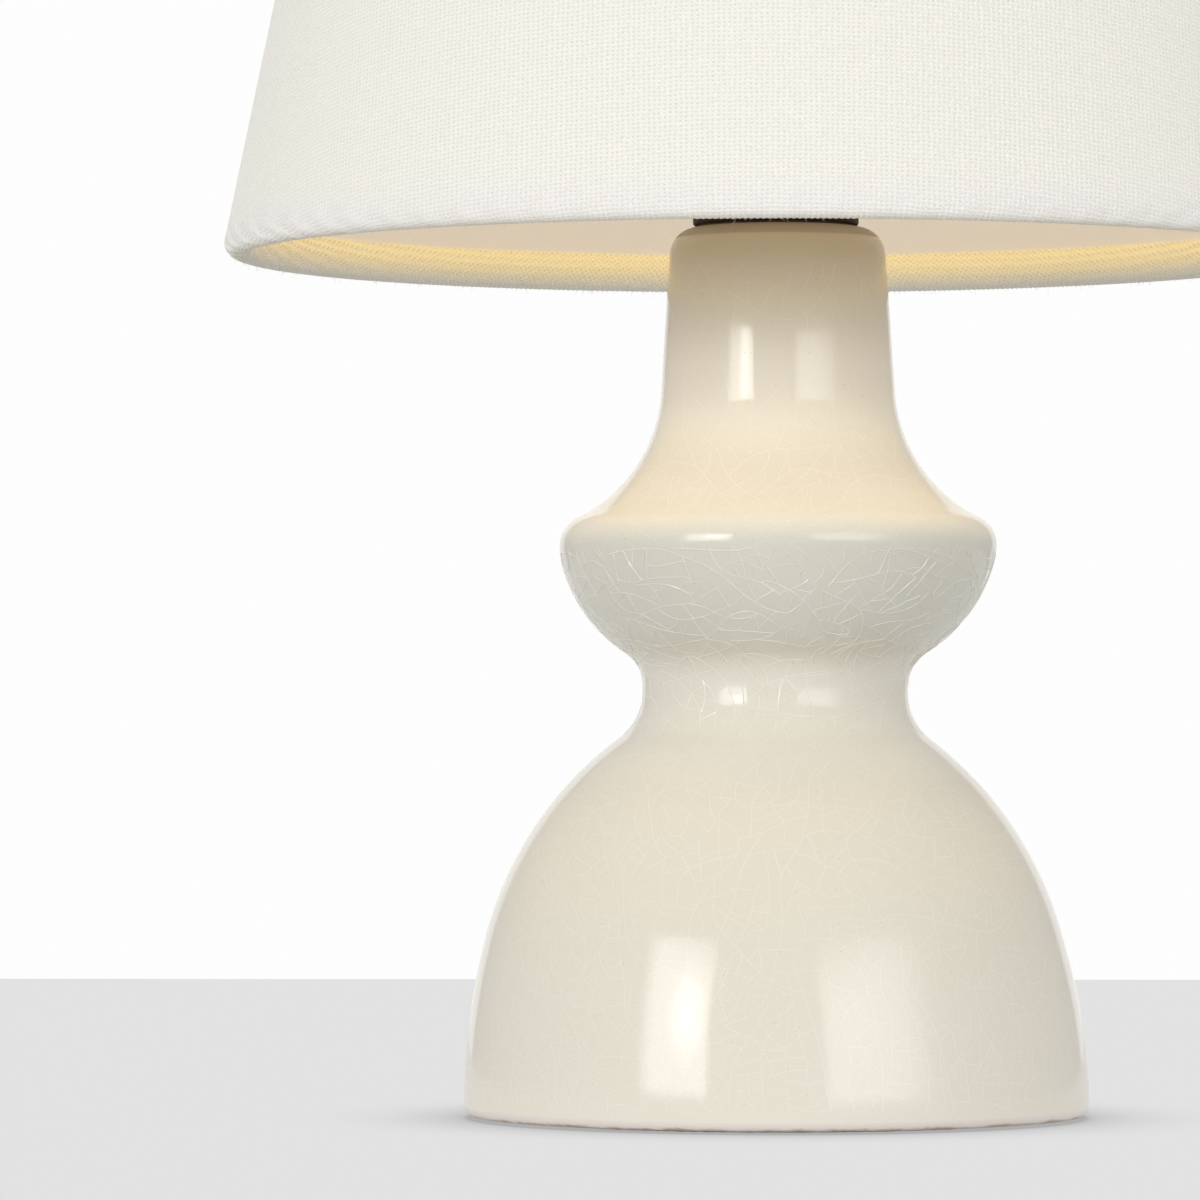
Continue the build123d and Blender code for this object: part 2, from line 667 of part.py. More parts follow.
# Light board with a ring of chips
with BuildPart() as light_board:
    with BuildSketch(Plane.XY.offset(light_board_bottom)):
        Circle(housing_bore - LOOSE_FIT)
        Circle(TUBE_RADIUS + LOOSE_FIT, mode=Mode.SUBTRACT)
        with Locations(*light_screw_places):
            Circle(SCREW_RADIUS, mode=Mode.SUBTRACT)
    extrude(amount=LIGHT_BOARD_THICKNESS)
save(light_board, "light_board")
with BuildPart() as light_chips:
    with BuildSketch(Plane.XY.offset(light_board_top)):
        with PolarLocations(CHIP_RING_RADIUS, CHIP_COUNT):
            Rectangle(CHIP_WIDTH, CHIP_LENGTH)
    extrude(amount=CHIP_HEIGHT)
save(light_chips, "light_chips")
light_screws = pan_screws(
    light_screw_places, light_board_top, LIGHT_BOARD_THICKNESS + HOUSING_FLOOR - SLIP_FIT
)
save(light_screws, "light_screws")

# Opal diffuser: a lip inside the housing, a short straight wall and a dome round the tube
lip_outside = housing_bore - SLIP_FIT
with BuildPart() as diffuser:
    with BuildSketch(Plane.XZ):
        with BuildLine():
            dome_lines(HOUSING_RADIUS, housing_top, diffuser_top)
            Polyline(
                (DIFFUSER_TOP_RADIUS, diffuser_top),
                (0, diffuser_top),
                (0, housing_top - DIFFUSER_LIP),
                (lip_outside, housing_top - DIFFUSER_LIP),
                (lip_outside, housing_top),
                (HOUSING_RADIUS, housing_top),
            )
        make_face()
    revolve(axis=Axis.Z)
    with BuildSketch(Plane.XZ):
        with BuildLine():
            dome_lines(
                lip_outside - DIFFUSER_WALL, housing_top - DIFFUSER_LIP, diffuser_top - DIFFUSER_WALL
            )
            Polyline(
                (DIFFUSER_TOP_RADIUS, diffuser_top - DIFFUSER_WALL),
                (0, diffuser_top - DIFFUSER_WALL),
                (0, housing_top - DIFFUSER_LIP),
                (lip_outside - DIFFUSER_WALL, housing_top - DIFFUSER_LIP),
            )
        make_face()
    revolve(axis=Axis.Z, mode=Mode.SUBTRACT)
    with BuildSketch(Plane.XY.offset(diffuser_top)):
        Circle(TUBE_RADIUS + SLIP_FIT)
    extrude(amount=-2 * DIFFUSER_WALL, mode=Mode.SUBTRACT)
save(diffuser, "diffuser")

# Post: a sleeve screwed on the tube, a rod, a shoulder for the shade and a stud for the finial
sleeve_top = tube_top + POST_SLEEVE_ROOF
stud_top = hub_top + STUD_ABOVE_HUB
shoulder_bottom = post_shoulder_top - POST_SHOULDER_THICKNESS
shade_post = turned(
    [
        (TUBE_RADIUS, diffuser_top),
        (POST_FLANGE_RADIUS, diffuser_top),
        (POST_FLANGE_RADIUS, diffuser_top + POST_FLANGE_THICKNESS),
        (POST_SLEEVE_RADIUS, diffuser_top + POST_FLANGE_THICKNESS),
        (POST_SLEEVE_RADIUS, sleeve_top - POST_SLEEVE_ROOF / 2),
        (POST_ROD_RADIUS, sleeve_top),
        (POST_ROD_RADIUS, shoulder_bottom - POST_SHOULDER_THICKNESS),
        (POST_SHOULDER_RADIUS, shoulder_bottom),
        (POST_SHOULDER_RADIUS, post_shoulder_top),
        (STUD_RADIUS, post_shoulder_top),
        (STUD_RADIUS, stud_top),
        (0, stud_top),
        (0, tube_top),
        (TUBE_RADIUS, tube_top),
    ]
)
save(shade_post, "shade_post")

# Friction washer that the shade turns on
shade_washer = washer(
    STUD_RADIUS + RUNNING_FIT, SHADE_WASHER_RADIUS, post_shoulder_top, SHADE_WASHER_THICKNESS
)
save(shade_washer, "shade_washer")

# Shade section: ring centres in the two hems, and the directions along the wall and out of it
hem_bore = RING_WIRE + RING_FIT
hem_radius = hem_bore + CLOTH_THICKNESS
lean = atan(SHADE_TAPER)
along = Vector(-sin(lean), cos(lean))
outward = Vector(cos(lean), sin(lean))
low_ring = Vector(SHADE_RADIUS - hem_radius, SHADE_BOTTOM + hem_radius)
wall_length = (SHADE_HEIGHT - 2 * hem_radius) / cos(lean)
high_ring = low_ring + along * wall_length
lining_inside = hem_bore - SKIN_FIT - LINING_THICKNESS
arm_angles = [90 + index * 360 / ARM_COUNT for index in range(ARM_COUNT)]

# Cloth: the outer wall, rolled round both rings and turned in over the lining's edges
fold_outer = outward * (lining_inside - SKIN_FIT)
fold_inner = outward * (lining_inside - SKIN_FIT - CLOTH_THICKNESS)
with BuildPart() as shade_cloth:
    with BuildSketch(Plane.XZ):
        with BuildLine():
            Line(low_ring + outward * hem_radius, high_ring + outward * hem_radius)
            ThreePointArc(
                high_ring + outward * hem_radius,
                high_ring + along * hem_radius,
                high_ring - outward * hem_radius,
            )
            Polyline(
                high_ring - outward * hem_radius,
                high_ring - outward * hem_radius - along * hem_bore,
                high_ring - along * HEM_FOLD + fold_inner,
                high_ring - along * HEM_FOLD + fold_outer,
                high_ring - outward * hem_bore - along * hem_bore,
                high_ring - outward * hem_bore,
            )
            ThreePointArc(
                high_ring - outward * hem_bore,
                high_ring + along * hem_bore,
                high_ring + outward * hem_bore,
            )
            Line(high_ring + outward * hem_bore, low_ring + outward * hem_bore)
            ThreePointArc(
                low_ring + outward * hem_bore,
                low_ring - along * hem_bore,
                low_ring - outward * hem_bore,
            )
            Polyline(
                low_ring - outward * hem_bore,
                low_ring - outward * hem_bore + along * hem_bore,
                low_ring + along * HEM_FOLD + fold_outer,
                low_ring + along * HEM_FOLD + fold_inner,
                low_ring - outward * hem_radius + along * hem_bore,
                low_ring - outward * hem_radius,
            )
            ThreePointArc(
                low_ring - outward * hem_radius,
                low_ring - along * hem_radius,
                low_ring + outward * hem_radius,
            )
        make_face()
    revolve(axis=Axis.Z)
    slit_top = high_ring + along * (hem_bore + CLOTH_THICKNESS / 2)
    slit_end = high_ring - along * (HEM_FOLD + CLOTH_THICKNESS)
    for angle in arm_angles:
        with BuildSketch(upright(angle)):
            with BuildLine():
                Polyline(
                    slit_top - outward * (2 * hem_radius),
                    slit_top,
                    high_ring - along * hem_bore,
                    slit_end + outward * (lining_inside - SKIN_FIT / 2),
                    slit_end - outward * (2 * hem_radius),
                    close=True,
                )
            make_face()
        extrude(amount=ARM_NOTCH / 2, both=True, mode=Mode.SUBTRACT)
save(shade_cloth, "shade_cloth")

# Lining: a stiff sheet against the cloth, between the two rings
shade_lining = turned(
    [
        low_ring + along * LINING_SETBACK + outward * (hem_bore - SKIN_FIT),
        high_ring - along * LINING_SETBACK + outward * (hem_bore - SKIN_FIT),
        high_ring - along * LINING_SETBACK + outward * lining_inside,
        low_ring + along * LINING_SETBACK + outward * lining_inside,
    ]
)
save(shade_lining, "shade_lining")

# Bottom ring in the lower hem
with BuildPart() as shade_bottom_ring:
    with BuildSketch(Plane.XZ):
        with Locations((low_ring.X, low_ring.Y)):
            Circle(RING_WIRE)
    revolve(axis=Axis.Z)
save(shade_bottom_ring, "shade_bottom_ring")

# Frame: the top ring, three arms that drop to the hub, and the hub on the post's stud
hub_middle = (hub_bottom + hub_top) / 2
with BuildPart() as shade_frame:
    with BuildSketch(Plane.XZ):
        with Locations((high_ring.X, high_ring.Y)):
            Circle(RING_WIRE)
    revolve(axis=Axis.Z)
    with BuildSketch(Plane.XY.offset(hub_bottom)):
        Circle(HUB_RADIUS)
        Circle(STUD_RADIUS + SLIP_FIT, mode=Mode.SUBTRACT)
    extrude(amount=HUB_THICKNESS)
    for angle in arm_angles:
        with BuildLine(upright(angle)) as arm:
            FilletPolyline(
                (HUB_RADIUS - RING_WIRE, hub_middle),
                (ARM_FLAT, hub_middle),
                (high_ring.X, high_ring.Y),
                radius=ARM_BEND,
            )
        with BuildSketch(arm.line ^ 0):
            Circle(RING_WIRE)
        sweep(path=arm.line)
save(shade_frame, "shade_frame")

# Finial: a turned knob, bored for the stud
ball_centre = hub_top + FINIAL_BASE_HEIGHT + FINIAL_NECK_HEIGHT + FINIAL_BALL_RADIUS
with BuildPart() as finial:
    with BuildSketch(Plane.XY.offset(hub_top)):
        Circle(FINIAL_BASE_RADIUS)
    extrude(amount=FINIAL_BASE_HEIGHT)
    chamfer(finial.edges().group_by(Axis.Z)[-1], FINIAL_BASE_HEIGHT / 3)
    with BuildSketch(Plane.XY.offset(hub_top)):
        Circle(FINIAL_NECK_RADIUS)
    extrude(amount=FINIAL_BASE_HEIGHT + FINIAL_NECK_HEIGHT + FINIAL_BALL_RADIUS)
    with BuildSketch(Plane.XZ):
        with Locations((0, ball_centre)):
            Circle(FINIAL_BALL_RADIUS)
            Rectangle(
                2 * FINIAL_BALL_RADIUS,
                2 * FINIAL_BALL_RADIUS,
                align=(Align.MAX, Align.CENTER),
                mode=Mode.SUBTRACT,
            )
    revolve(axis=Axis.Z)
    with BuildSketch(Plane.XY.offset(hub_top)):
        Circle(STUD_RADIUS + RUNNING_FIT)
    extrude(amount=STUD_ABOVE_HUB + FINIAL_BORE_SPARE, mode=Mode.SUBTRACT)
save(finial, "finial")
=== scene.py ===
"""Looks of a cordless table lamp: a crackle-glazed ceramic body and a lit shade of woven cloth."""
import math
import random

import bpy
import numpy as np
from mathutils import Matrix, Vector, noise


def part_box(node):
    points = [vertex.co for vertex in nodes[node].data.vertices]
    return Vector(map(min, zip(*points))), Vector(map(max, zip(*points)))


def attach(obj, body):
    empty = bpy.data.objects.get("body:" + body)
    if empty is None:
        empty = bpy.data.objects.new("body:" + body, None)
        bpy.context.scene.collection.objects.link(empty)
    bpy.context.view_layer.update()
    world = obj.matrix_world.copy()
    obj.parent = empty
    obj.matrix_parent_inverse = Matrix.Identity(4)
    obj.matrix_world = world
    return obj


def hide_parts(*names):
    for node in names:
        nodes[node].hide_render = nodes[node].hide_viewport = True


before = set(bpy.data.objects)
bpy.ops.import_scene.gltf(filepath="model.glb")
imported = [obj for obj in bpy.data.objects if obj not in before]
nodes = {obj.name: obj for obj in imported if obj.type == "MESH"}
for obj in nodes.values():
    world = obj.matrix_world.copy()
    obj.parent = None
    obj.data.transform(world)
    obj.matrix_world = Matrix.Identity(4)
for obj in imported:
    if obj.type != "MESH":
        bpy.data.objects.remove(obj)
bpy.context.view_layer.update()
MM = 0.001

# The view: distance from the lamp's axis, height, and where the axis and the horizon fall in the picture
PICTURE = 1200
FILM_WIDTH = 36
FOCAL_PIXELS = 6940
AXIS_PIXEL = 776
HORIZON_PIXEL = 736.7
VIEW_DISTANCE = 1.122
VIEW_HEIGHT = 0.0614
FLOOR_PIXEL = 979

# The light that the floor and the room give, and how they look
FLOOR_NEAR = (0.62, 0.62, 0.62)
FLOOR_FAR = (0.06, 0.06, 0.06)
FLOOR_SHADOW = (0.42, 0.42, 0.42)
FLOOR_GREY = (0.76, 0.76, 0.76)
FLOOR_LEVEL = -0.03 * MM
FLOOR_REACH = 3
ROOM_LOW = (0.12, 0.12, 0.12)
ROOM_HIGH = (0.62, 0.62, 0.63)
BACKDROP = (0.985, 0.985, 0.985)
ROOM_MIRRORED = (0.50, 0.50, 0.51)

# Soft boxes: bearing and rise in degrees, width and height in metres, power, how much brighter the core is,
# the share over which the outer side fades, and whether glossy pieces mirror it
BOX_DISTANCE = 1.25
BOX_AIM = Vector((0, 0, 0.08))
BOX_CORE = (0.68, 0.50, 0.0)
BOX_LEVEL = 0.9
SOFT_BOXES = (
    ("soft_box_left", -38, 12.8, 0.64, 0.68, 7.8, 1.15, 0.25, True),
    ("soft_box_right", 41, 12.8, 1.10, 0.68, 7.5, 0.2, 0.45, True),
    ("soft_box_front", 0, 14, 0.90, 0.68, 2.2, 0.0, 0.25, False),
    ("soft_box_far_left", -115, 14, 0.90, 0.72, 4.4, 0.0, 0.25, False),
    ("soft_box_far_right", 115, 14, 0.90, 0.72, 4.2, 0.0, 0.25, False),
    ("soft_box_back", 180, 14, 1.10, 0.72, 4.5, 0.0, 0.25, False),
)

# The shade's wall and hems, as in the model, in millimetres
SHADE_HEIGHT = 127.0
SHADE_RADIUS = 89.0
SHADE_TAPER = 0.2053
SHADE_LEAN = math.atan(SHADE_TAPER)
HEM_RADIUS = 2.3
HEM_BORE = 1.6
HEM_FOLD = 4.1
FOLD_INSET = 0.36
ring_low, ring_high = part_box("shade_bottom_ring")
ring_height = (ring_low.z + ring_high.z) / 2
LOW_RING = Vector((ring_high.x + ring_low.z - ring_height, ring_height)) / MM
WALL_LENGTH = (SHADE_HEIGHT - 2 * HEM_RADIUS) / math.cos(SHADE_LEAN)
ALONG = Vector((-math.sin(SHADE_LEAN), math.cos(SHADE_LEAN)))
OUTWARD = Vector((math.cos(SHADE_LEAN), math.sin(SHADE_LEAN)))
HIGH_RING = LOW_RING + ALONG * WALL_LENGTH
ARM_ANGLES = [math.radians(angle) for angle in (90, 210, 330)]
SLIT_HALF_WIDTH = 2.5
WARP_PITCH = 0.82
WEFT_PITCH = 0.69
CLOTH_TURNS = 1208
WALL_ROWS = 60
WALL_SWAY = 0.10
HEM_BEAD = 0.12
BEAD_START = 1.0
BEAD_RISE = 2.0
SEAM_WIDTH = 9.0
SEAM_PROFILE = ((-1.0, -0.1), (-0.92, 0.32), (0.0, 0.36), (0.92, 0.32), (1.0, -0.1))
FIBRE_COUNT = 480
FIBRE_SEED = 11
FIBRE_STEPS = 6
FIBRE_CURL = 0.36

# The body's top, the rebate in its foot and its bore, and how its axis wanders to the side at some heights
BODY_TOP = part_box("ceramic_body")[1].z
BODY_TURNS = 384
FOOT_SEAT = 4.4 * MM
FOOT_INSIDE = 42.5 * MM
FOOT_REBATE = 46.0 * MM
NECK_BORE = 5.4 * MM
NECK_DEPTH = 6.0 * MM
LEAN_HEIGHTS = [height * MM for height in (4, 30, 58, 72, 96, 118, 136, 143)]
LEAN_SHIFTS = (0.0, -0.38, -0.36, 0.0, 0.38, 0.4, 0.34, 0.25)

# Cracks in the glaze up to some heights: millimetres apart, paleness, relief, usual slant and its spread
CRACK_ZONES = (
    (40, 1.9, 0.40, 0.04, 82, 16),
    (62, 2.1, 0.44, 0.08, 62, 36),
    (73, 2.0, 0.56, 0.40, 35, 50),
    (91, 1.9, 0.54, 1.00, 10, 30),
    (100, 2.3, 0.46, 0.05, 30, 50),
    (117, 2.3, 0.46, 0.10, 25, 50),
    (150, 2.8, 0.40, 0.04, 72, 40),
)
FIRST_CRACKS = 2500
LATER_CRACKS = 16000
CRACK_SEED = 5
CRACK_HALF_WIDTH = 0.15
CRACK_LIFT = 0.085
CRACK_SINK = 0.006

# Heights in metres over which the glaze's greener tone comes and goes on the bowl, and painted light on the
# flare and the waist
BOWL_COMES = (0.072, 0.078)
BOWL_GOES = (0.094, 0.099)
FLARE_COMES = (0.104, 0.113)
FLARE_GOES = (0.130, 0.120)
WAIST_COMES = (0.052, 0.060)
WAIST_GOES = (0.078, 0.072)

# Colours of the glaze and the cloth, and how brightly the lamp lights the shade
GLAZE_WARM = (0.745, 0.700, 0.585)
GLAZE_PALE = (0.775, 0.745, 0.645)
GLAZE_GREEN = (0.790, 0.790, 0.705)
# painted shade, warm from the lamp, towards the neck's top under the shade
GLAZE_PAINTED_SHADE = (0.640, 0.540, 0.370)
# painted light on the flare and the waist, which lie in shade
GLAZE_PAINTED_LIGHT = (0.870, 0.830, 0.720)
# the cracks' pale colour; on each bead's upper side it is painted light
CRACK_PALE = (0.95, 0.935, 0.87)
# painted shade on the lower side of each crack's bead
CRACK_PAINTED_SHADE = (0.46, 0.42, 0.32)
FLECK_BROWN = (0.60, 0.52, 0.40)
SPECK_BROWN = (0.52, 0.27, 0.11)
FOOT_THIN = (0.78, 0.70, 0.66)
FOOT_BARE = (0.42, 0.30, 0.20)
# painted shade on the lip's top under the cap
LIP_PAINTED_SHADE = (0.38, 0.29, 0.18)
CLOTH_WHITE = (0.52, 0.512, 0.50)
CLOTH_FUZZ = (0.45, 0.44, 0.40)
# painted shade in the gaps between the yarns
CLOTH_GAP_SHADE = (0.36, 0.34, 0.29)
GAP_LIGHT = (0.0, 0.06, 0.03)
WALL_LIGHT = Vector((0.485, 0.47, 0.405))
SEAM_SHARE = 0.85
CLOTH_LIGHT = Vector((0.47, 0.445, 0.42))
ROLL_LIGHT = Vector((0.54, 0.52, 0.48))
EDGE_LIGHT = Vector((0.36, 0.33, 0.26))
HEM_LIGHT = Vector((0.25, 0.24, 0.20))
FOLD_LIGHT = Vector((0.66, 0.47, 0.15))
LINING_LIGHT = (0.262, 0.228, 0.183)
LAMP_COLOUR = (1.0, 0.75, 0.45)
LAMP_GLOW = 1.0
DOWNLIGHT = 0.016
DOWNLIGHT_WIDTH = 0.124
DOWNLIGHT_HEIGHT = 0.205
DOWNLIGHT_SPREAD = 55


def add(tree, kind, inputs=None, **settings):
    """A shader node with its settings, and its inputs set or joined to other nodes' outputs."""
    made = tree.nodes.new("ShaderNode" + kind)
    for name, value in settings.items():
        setattr(made, name, value)
    for key, value in (inputs or {}).items():
        if isinstance(value, bpy.types.NodeSocket):
            tree.links.new(value, made.inputs[key])
        else:
            made.inputs[key].default_value = value
    return made


def calc(tree, operation, *values, clamp=False):
    """The result of one sum on values or other nodes' outputs."""
    made = add(tree, "Math", dict(enumerate(values)), operation=operation, use_clamp=clamp)
    return made.outputs[0]


def ramp(tree, value, low, high):
    """0 up to low, 1 from high, smooth between."""
    made = add(
        tree,
        "MapRange",
        {"Value": value, "From Min": low, "From Max": high},
        interpolation_type="SMOOTHSTEP",
    )
    return made.outputs[0]


def mixed(tree, share, first, second, blend="MIX"):
    """A colour between two colours."""
    made = add(tree, "Mix", data_type="RGBA", blend_type=blend)
    for index, value in ((0, share), (6, first), (7, second)):
        if isinstance(value, bpy.types.NodeSocket):
            tree.links.new(value, made.inputs[index])
        else:
            made.inputs[index].default_value = value if index == 0 else (*value, 1.0)
    return made.outputs[2]


def material(name, roughness=0.5, metallic=0.0, ior=1.5):
    """An empty material: its node tree and its shader."""
    made = bpy.data.materials.new(name)
    made.use_nodes = True
    tree = made.node_tree
    tree.nodes.clear()
    shader = add(tree, "BsdfPrincipled", {"Roughness": roughness, "Metallic": metallic, "IOR": ior})
    out = add(tree, "OutputMaterial")
    tree.links.new(shader.outputs[0], out.inputs["Surface"])
    return made, tree, shader


def join(tree, output, shader, name):
    """Lead an output to one of the shader's inputs."""
    tree.links.new(output, shader.inputs[name])


def places(tree):
    """The surface's own place in metres, which goes with the piece as it moves."""
    return add(tree, "TexCoord").outputs["Object"]


def clouds(tree, place, scale, detail):
    """Soft random clouds between 0 and 1, about this many to the metre."""
    return add(tree, "TexNoise", {"Vector": place, "Scale": scale, "Detail": detail}).outputs[0]


def grey(tree, value):
    """A grey of this value."""
    return add(tree, "CombineColor", {0: value, 1: value, 2: value}).outputs[0]


def band(tree, height, comes, goes):
    """1 between two heights, with a smooth start and end."""
    return calc(tree, "MULTIPLY", ramp(tree, height, *comes), ramp(tree, height, *goes))


def bumped(tree, shader, height, distance, strength=1.0):
    """Relief of this height, in metres at height 1."""
    bump = add(tree, "Bump", {"Height": height, "Distance": distance, "Strength": strength})
    join(tree, bump.outputs[0], shader, "Normal")


def group_of(name, ins, outs):
    """An empty node group with these inputs and outputs, its tree and its two ends."""
    tree = bpy.data.node_groups.new(name, "ShaderNodeTree")
    for label, kind, default in ins:
        socket = tree.interface.new_socket(name=label, in_out="INPUT", socket_type=kind)
        if default is not None:
            socket.default_value = default
    for label, kind in outs:
        tree.interface.new_socket(name=label, in_out="OUTPUT", socket_type=kind)
    return tree, tree.nodes.new("NodeGroupInput").outputs, tree.nodes.new("NodeGroupOutput").inputs


def handled_surface():
    """Group: faint mottling and fine grain that moulded, painted and metal pieces share."""
    tree, ins, outs = group_of(
        "handled_surface",
        [
            ("Color", "NodeSocketColor", (0.5, 0.5, 0.5, 1)),
            ("Roughness", "NodeSocketFloat", 0.5),
            ("Grain", "NodeSocketFloat", 900.0),
        ],
        [("Color", "NodeSocketColor"), ("Roughness", "NodeSocketFloat"), ("Height", "NodeSocketFloat")],
    )
    place = places(tree)
    cloud = clouds(tree, place, 60.0, 4.0)
    grain = clouds(tree, place, ins["Grain"], 3.0)
    tone = grey(tree, calc(tree, "MULTIPLY_ADD", cloud, 0.3, 0.85))
    tree.links.new(mixed(tree, 1.0, ins["Color"], tone, "MULTIPLY"), outs["Color"])
    rough = calc(tree, "MULTIPLY_ADD", grain, 0.16, calc(tree, "SUBTRACT", ins["Roughness"], 0.08))
    tree.links.new(rough, outs["Roughness"])
    tree.links.new(grain, outs["Height"])
    return tree


HANDLED = handled_surface()


def plain_piece(name, color, roughness, metallic=0.0, grain=900.0, relief=0.02, shine=0.5):
    """A moulded, painted or metal piece: its colour with mottling, grain in its gloss and fine relief."""
    made, tree, shader = material(name, metallic=metallic)
    shader.inputs["Specular IOR Level"].default_value = shine
    surface = tree.nodes.new("ShaderNodeGroup")
    surface.node_tree = HANDLED
    surface.inputs["Color"].default_value = (*color, 1)
    surface.inputs["Roughness"].default_value = roughness
    surface.inputs["Grain"].default_value = grain
    join(tree, surface.outputs["Color"], shader, "Base Color")
    join(tree, surface.outputs["Roughness"], shader, "Roughness")
    bumped(tree, shader, surface.outputs["Height"], relief * MM)
    return made


def ivory_tone():
    """Group: ivory glaze, clouded, flecked, greener on the bowl; painted light on flare and waist, shade at
    the neck.
    """
    tree, _, outs = group_of("ivory_tone", [], [("Color", "NodeSocketColor")])
    place = places(tree)
    height = add(tree, "SeparateXYZ", {0: place}).outputs[2]
    below_rim = calc(tree, "SUBTRACT", 1.0, ramp(tree, height, *BOWL_GOES))
    bowl = calc(tree, "MULTIPLY", ramp(tree, height, *BOWL_COMES), below_rim)
    ivory = mixed(tree, clouds(tree, place, 28.0, 3.0), GLAZE_WARM, GLAZE_PALE)
    ivory = mixed(tree, calc(tree, "MULTIPLY", bowl, 0.5), ivory, GLAZE_GREEN)
    grainy = clouds(tree, place, 2600.0, 2.0)
    fleck = calc(tree, "MULTIPLY", ramp(tree, grainy, 0.45, 0.8), 0.10)
    ivory = mixed(tree, fleck, ivory, FLECK_BROWN)
    # painted light on the flare and the waist, which lie in shade
    flare = band(tree, height, FLARE_COMES, FLARE_GOES)
    waist = band(tree, height, WAIST_COMES, WAIST_GOES)
    flare_waist_painted_light = calc(tree, "MULTIPLY_ADD", waist, 0.6, calc(tree, "MULTIPLY", flare, 0.95))
    ivory = mixed(tree, flare_waist_painted_light, ivory, GLAZE_PAINTED_LIGHT)
    # painted shade, warm from the lamp, towards the neck's top under the shade
    neck_painted_shade = ramp(tree, height, BODY_TOP - 16 * MM, BODY_TOP + 1 * MM)
    ivory = mixed(tree, neck_painted_shade, ivory, GLAZE_PAINTED_SHADE)
    tree.links.new(ivory, outs["Color"])
    return tree


IVORY = ivory_tone()


def ivory_of(tree):
    """The glaze's ivory in a material."""
    made = tree.nodes.new("ShaderNodeGroup")
    made.node_tree = IVORY
    return made.outputs["Color"]


def crackle_glaze():
    """Glossy ivory glaze with brown specks, thin at the foot, with painted shade on the lip under the cap.
    """
    made, tree, shader = material("crackle_glaze", ior=1.45)
    place = places(tree)
    height = add(tree, "SeparateXYZ", {0: place}).outputs[2]
    ivory = ivory_of(tree)
    dots = add(tree, "TexVoronoi", {"Vector": place, "Scale": 900.0}, feature="F1")
    rare = add(tree, "SeparateColor", {0: dots.outputs["Color"]}).outputs
    chosen = calc(tree, "GREATER_THAN", rare[0], 0.2)
    size = calc(tree, "MULTIPLY", chosen, calc(tree, "MULTIPLY_ADD", rare[1], 0.06, 0.03))
    speck = calc(tree, "LESS_THAN", dots.outputs["Distance"], size)
    ivory = mixed(tree, calc(tree, "MULTIPLY", speck, 0.55), ivory, SPECK_BROWN)

    ragged = clouds(tree, place, 420.0, 3.0)
    wavy = calc(tree, "MULTIPLY_ADD", ragged, 0.0012, height)
    thin = calc(tree, "SUBTRACT", 1.0, ramp(tree, wavy, 0.0019, 0.0034))
    bare = calc(tree, "SUBTRACT", 1.0, ramp(tree, wavy, 0.0010, 0.0016))
    ivory = mixed(tree, calc(tree, "MULTIPLY", thin, 0.7), ivory, FOOT_THIN)
    ivory = mixed(tree, bare, ivory, FOOT_BARE)
    # painted shade on the lip's top, under the cap
    shaded_lip = ramp(tree, height, BODY_TOP - 2.0 * MM, BODY_TOP - 1.7 * MM)
    ivory = mixed(tree, calc(tree, "MULTIPLY", shaded_lip, 0.6), ivory, LIP_PAINTED_SHADE)
    join(tree, ivory, shader, "Base Color")

    dull = calc(tree, "MULTIPLY_ADD", calc(tree, "ADD", bare, shaded_lip), 0.45, 0.08)
    join(tree, dull, shader, "Roughness")
    return made


def crazed_line():
    """The glaze along a crack: pale on its top, with painted light on its upper side and painted shade on
    its lower one.
    """
    made, tree, shader = material("crazed_line", roughness=0.12, ior=1.45)
    # the clear attribute: the crack's paleness on the bead's top, painted light on its upper side and
    # painted shade, as values below 0, on its lower side
    clear = add(tree, "Attribute", attribute_name="clear").outputs["Fac"]
    shaded = calc(tree, "MULTIPLY", clear, -1.0, clamp=True)
    ivory = mixed(tree, shaded, ivory_of(tree), CRACK_PAINTED_SHADE)
    join(tree, mixed(tree, clear, ivory, CRACK_PALE), shader, "Base Color")
    return made


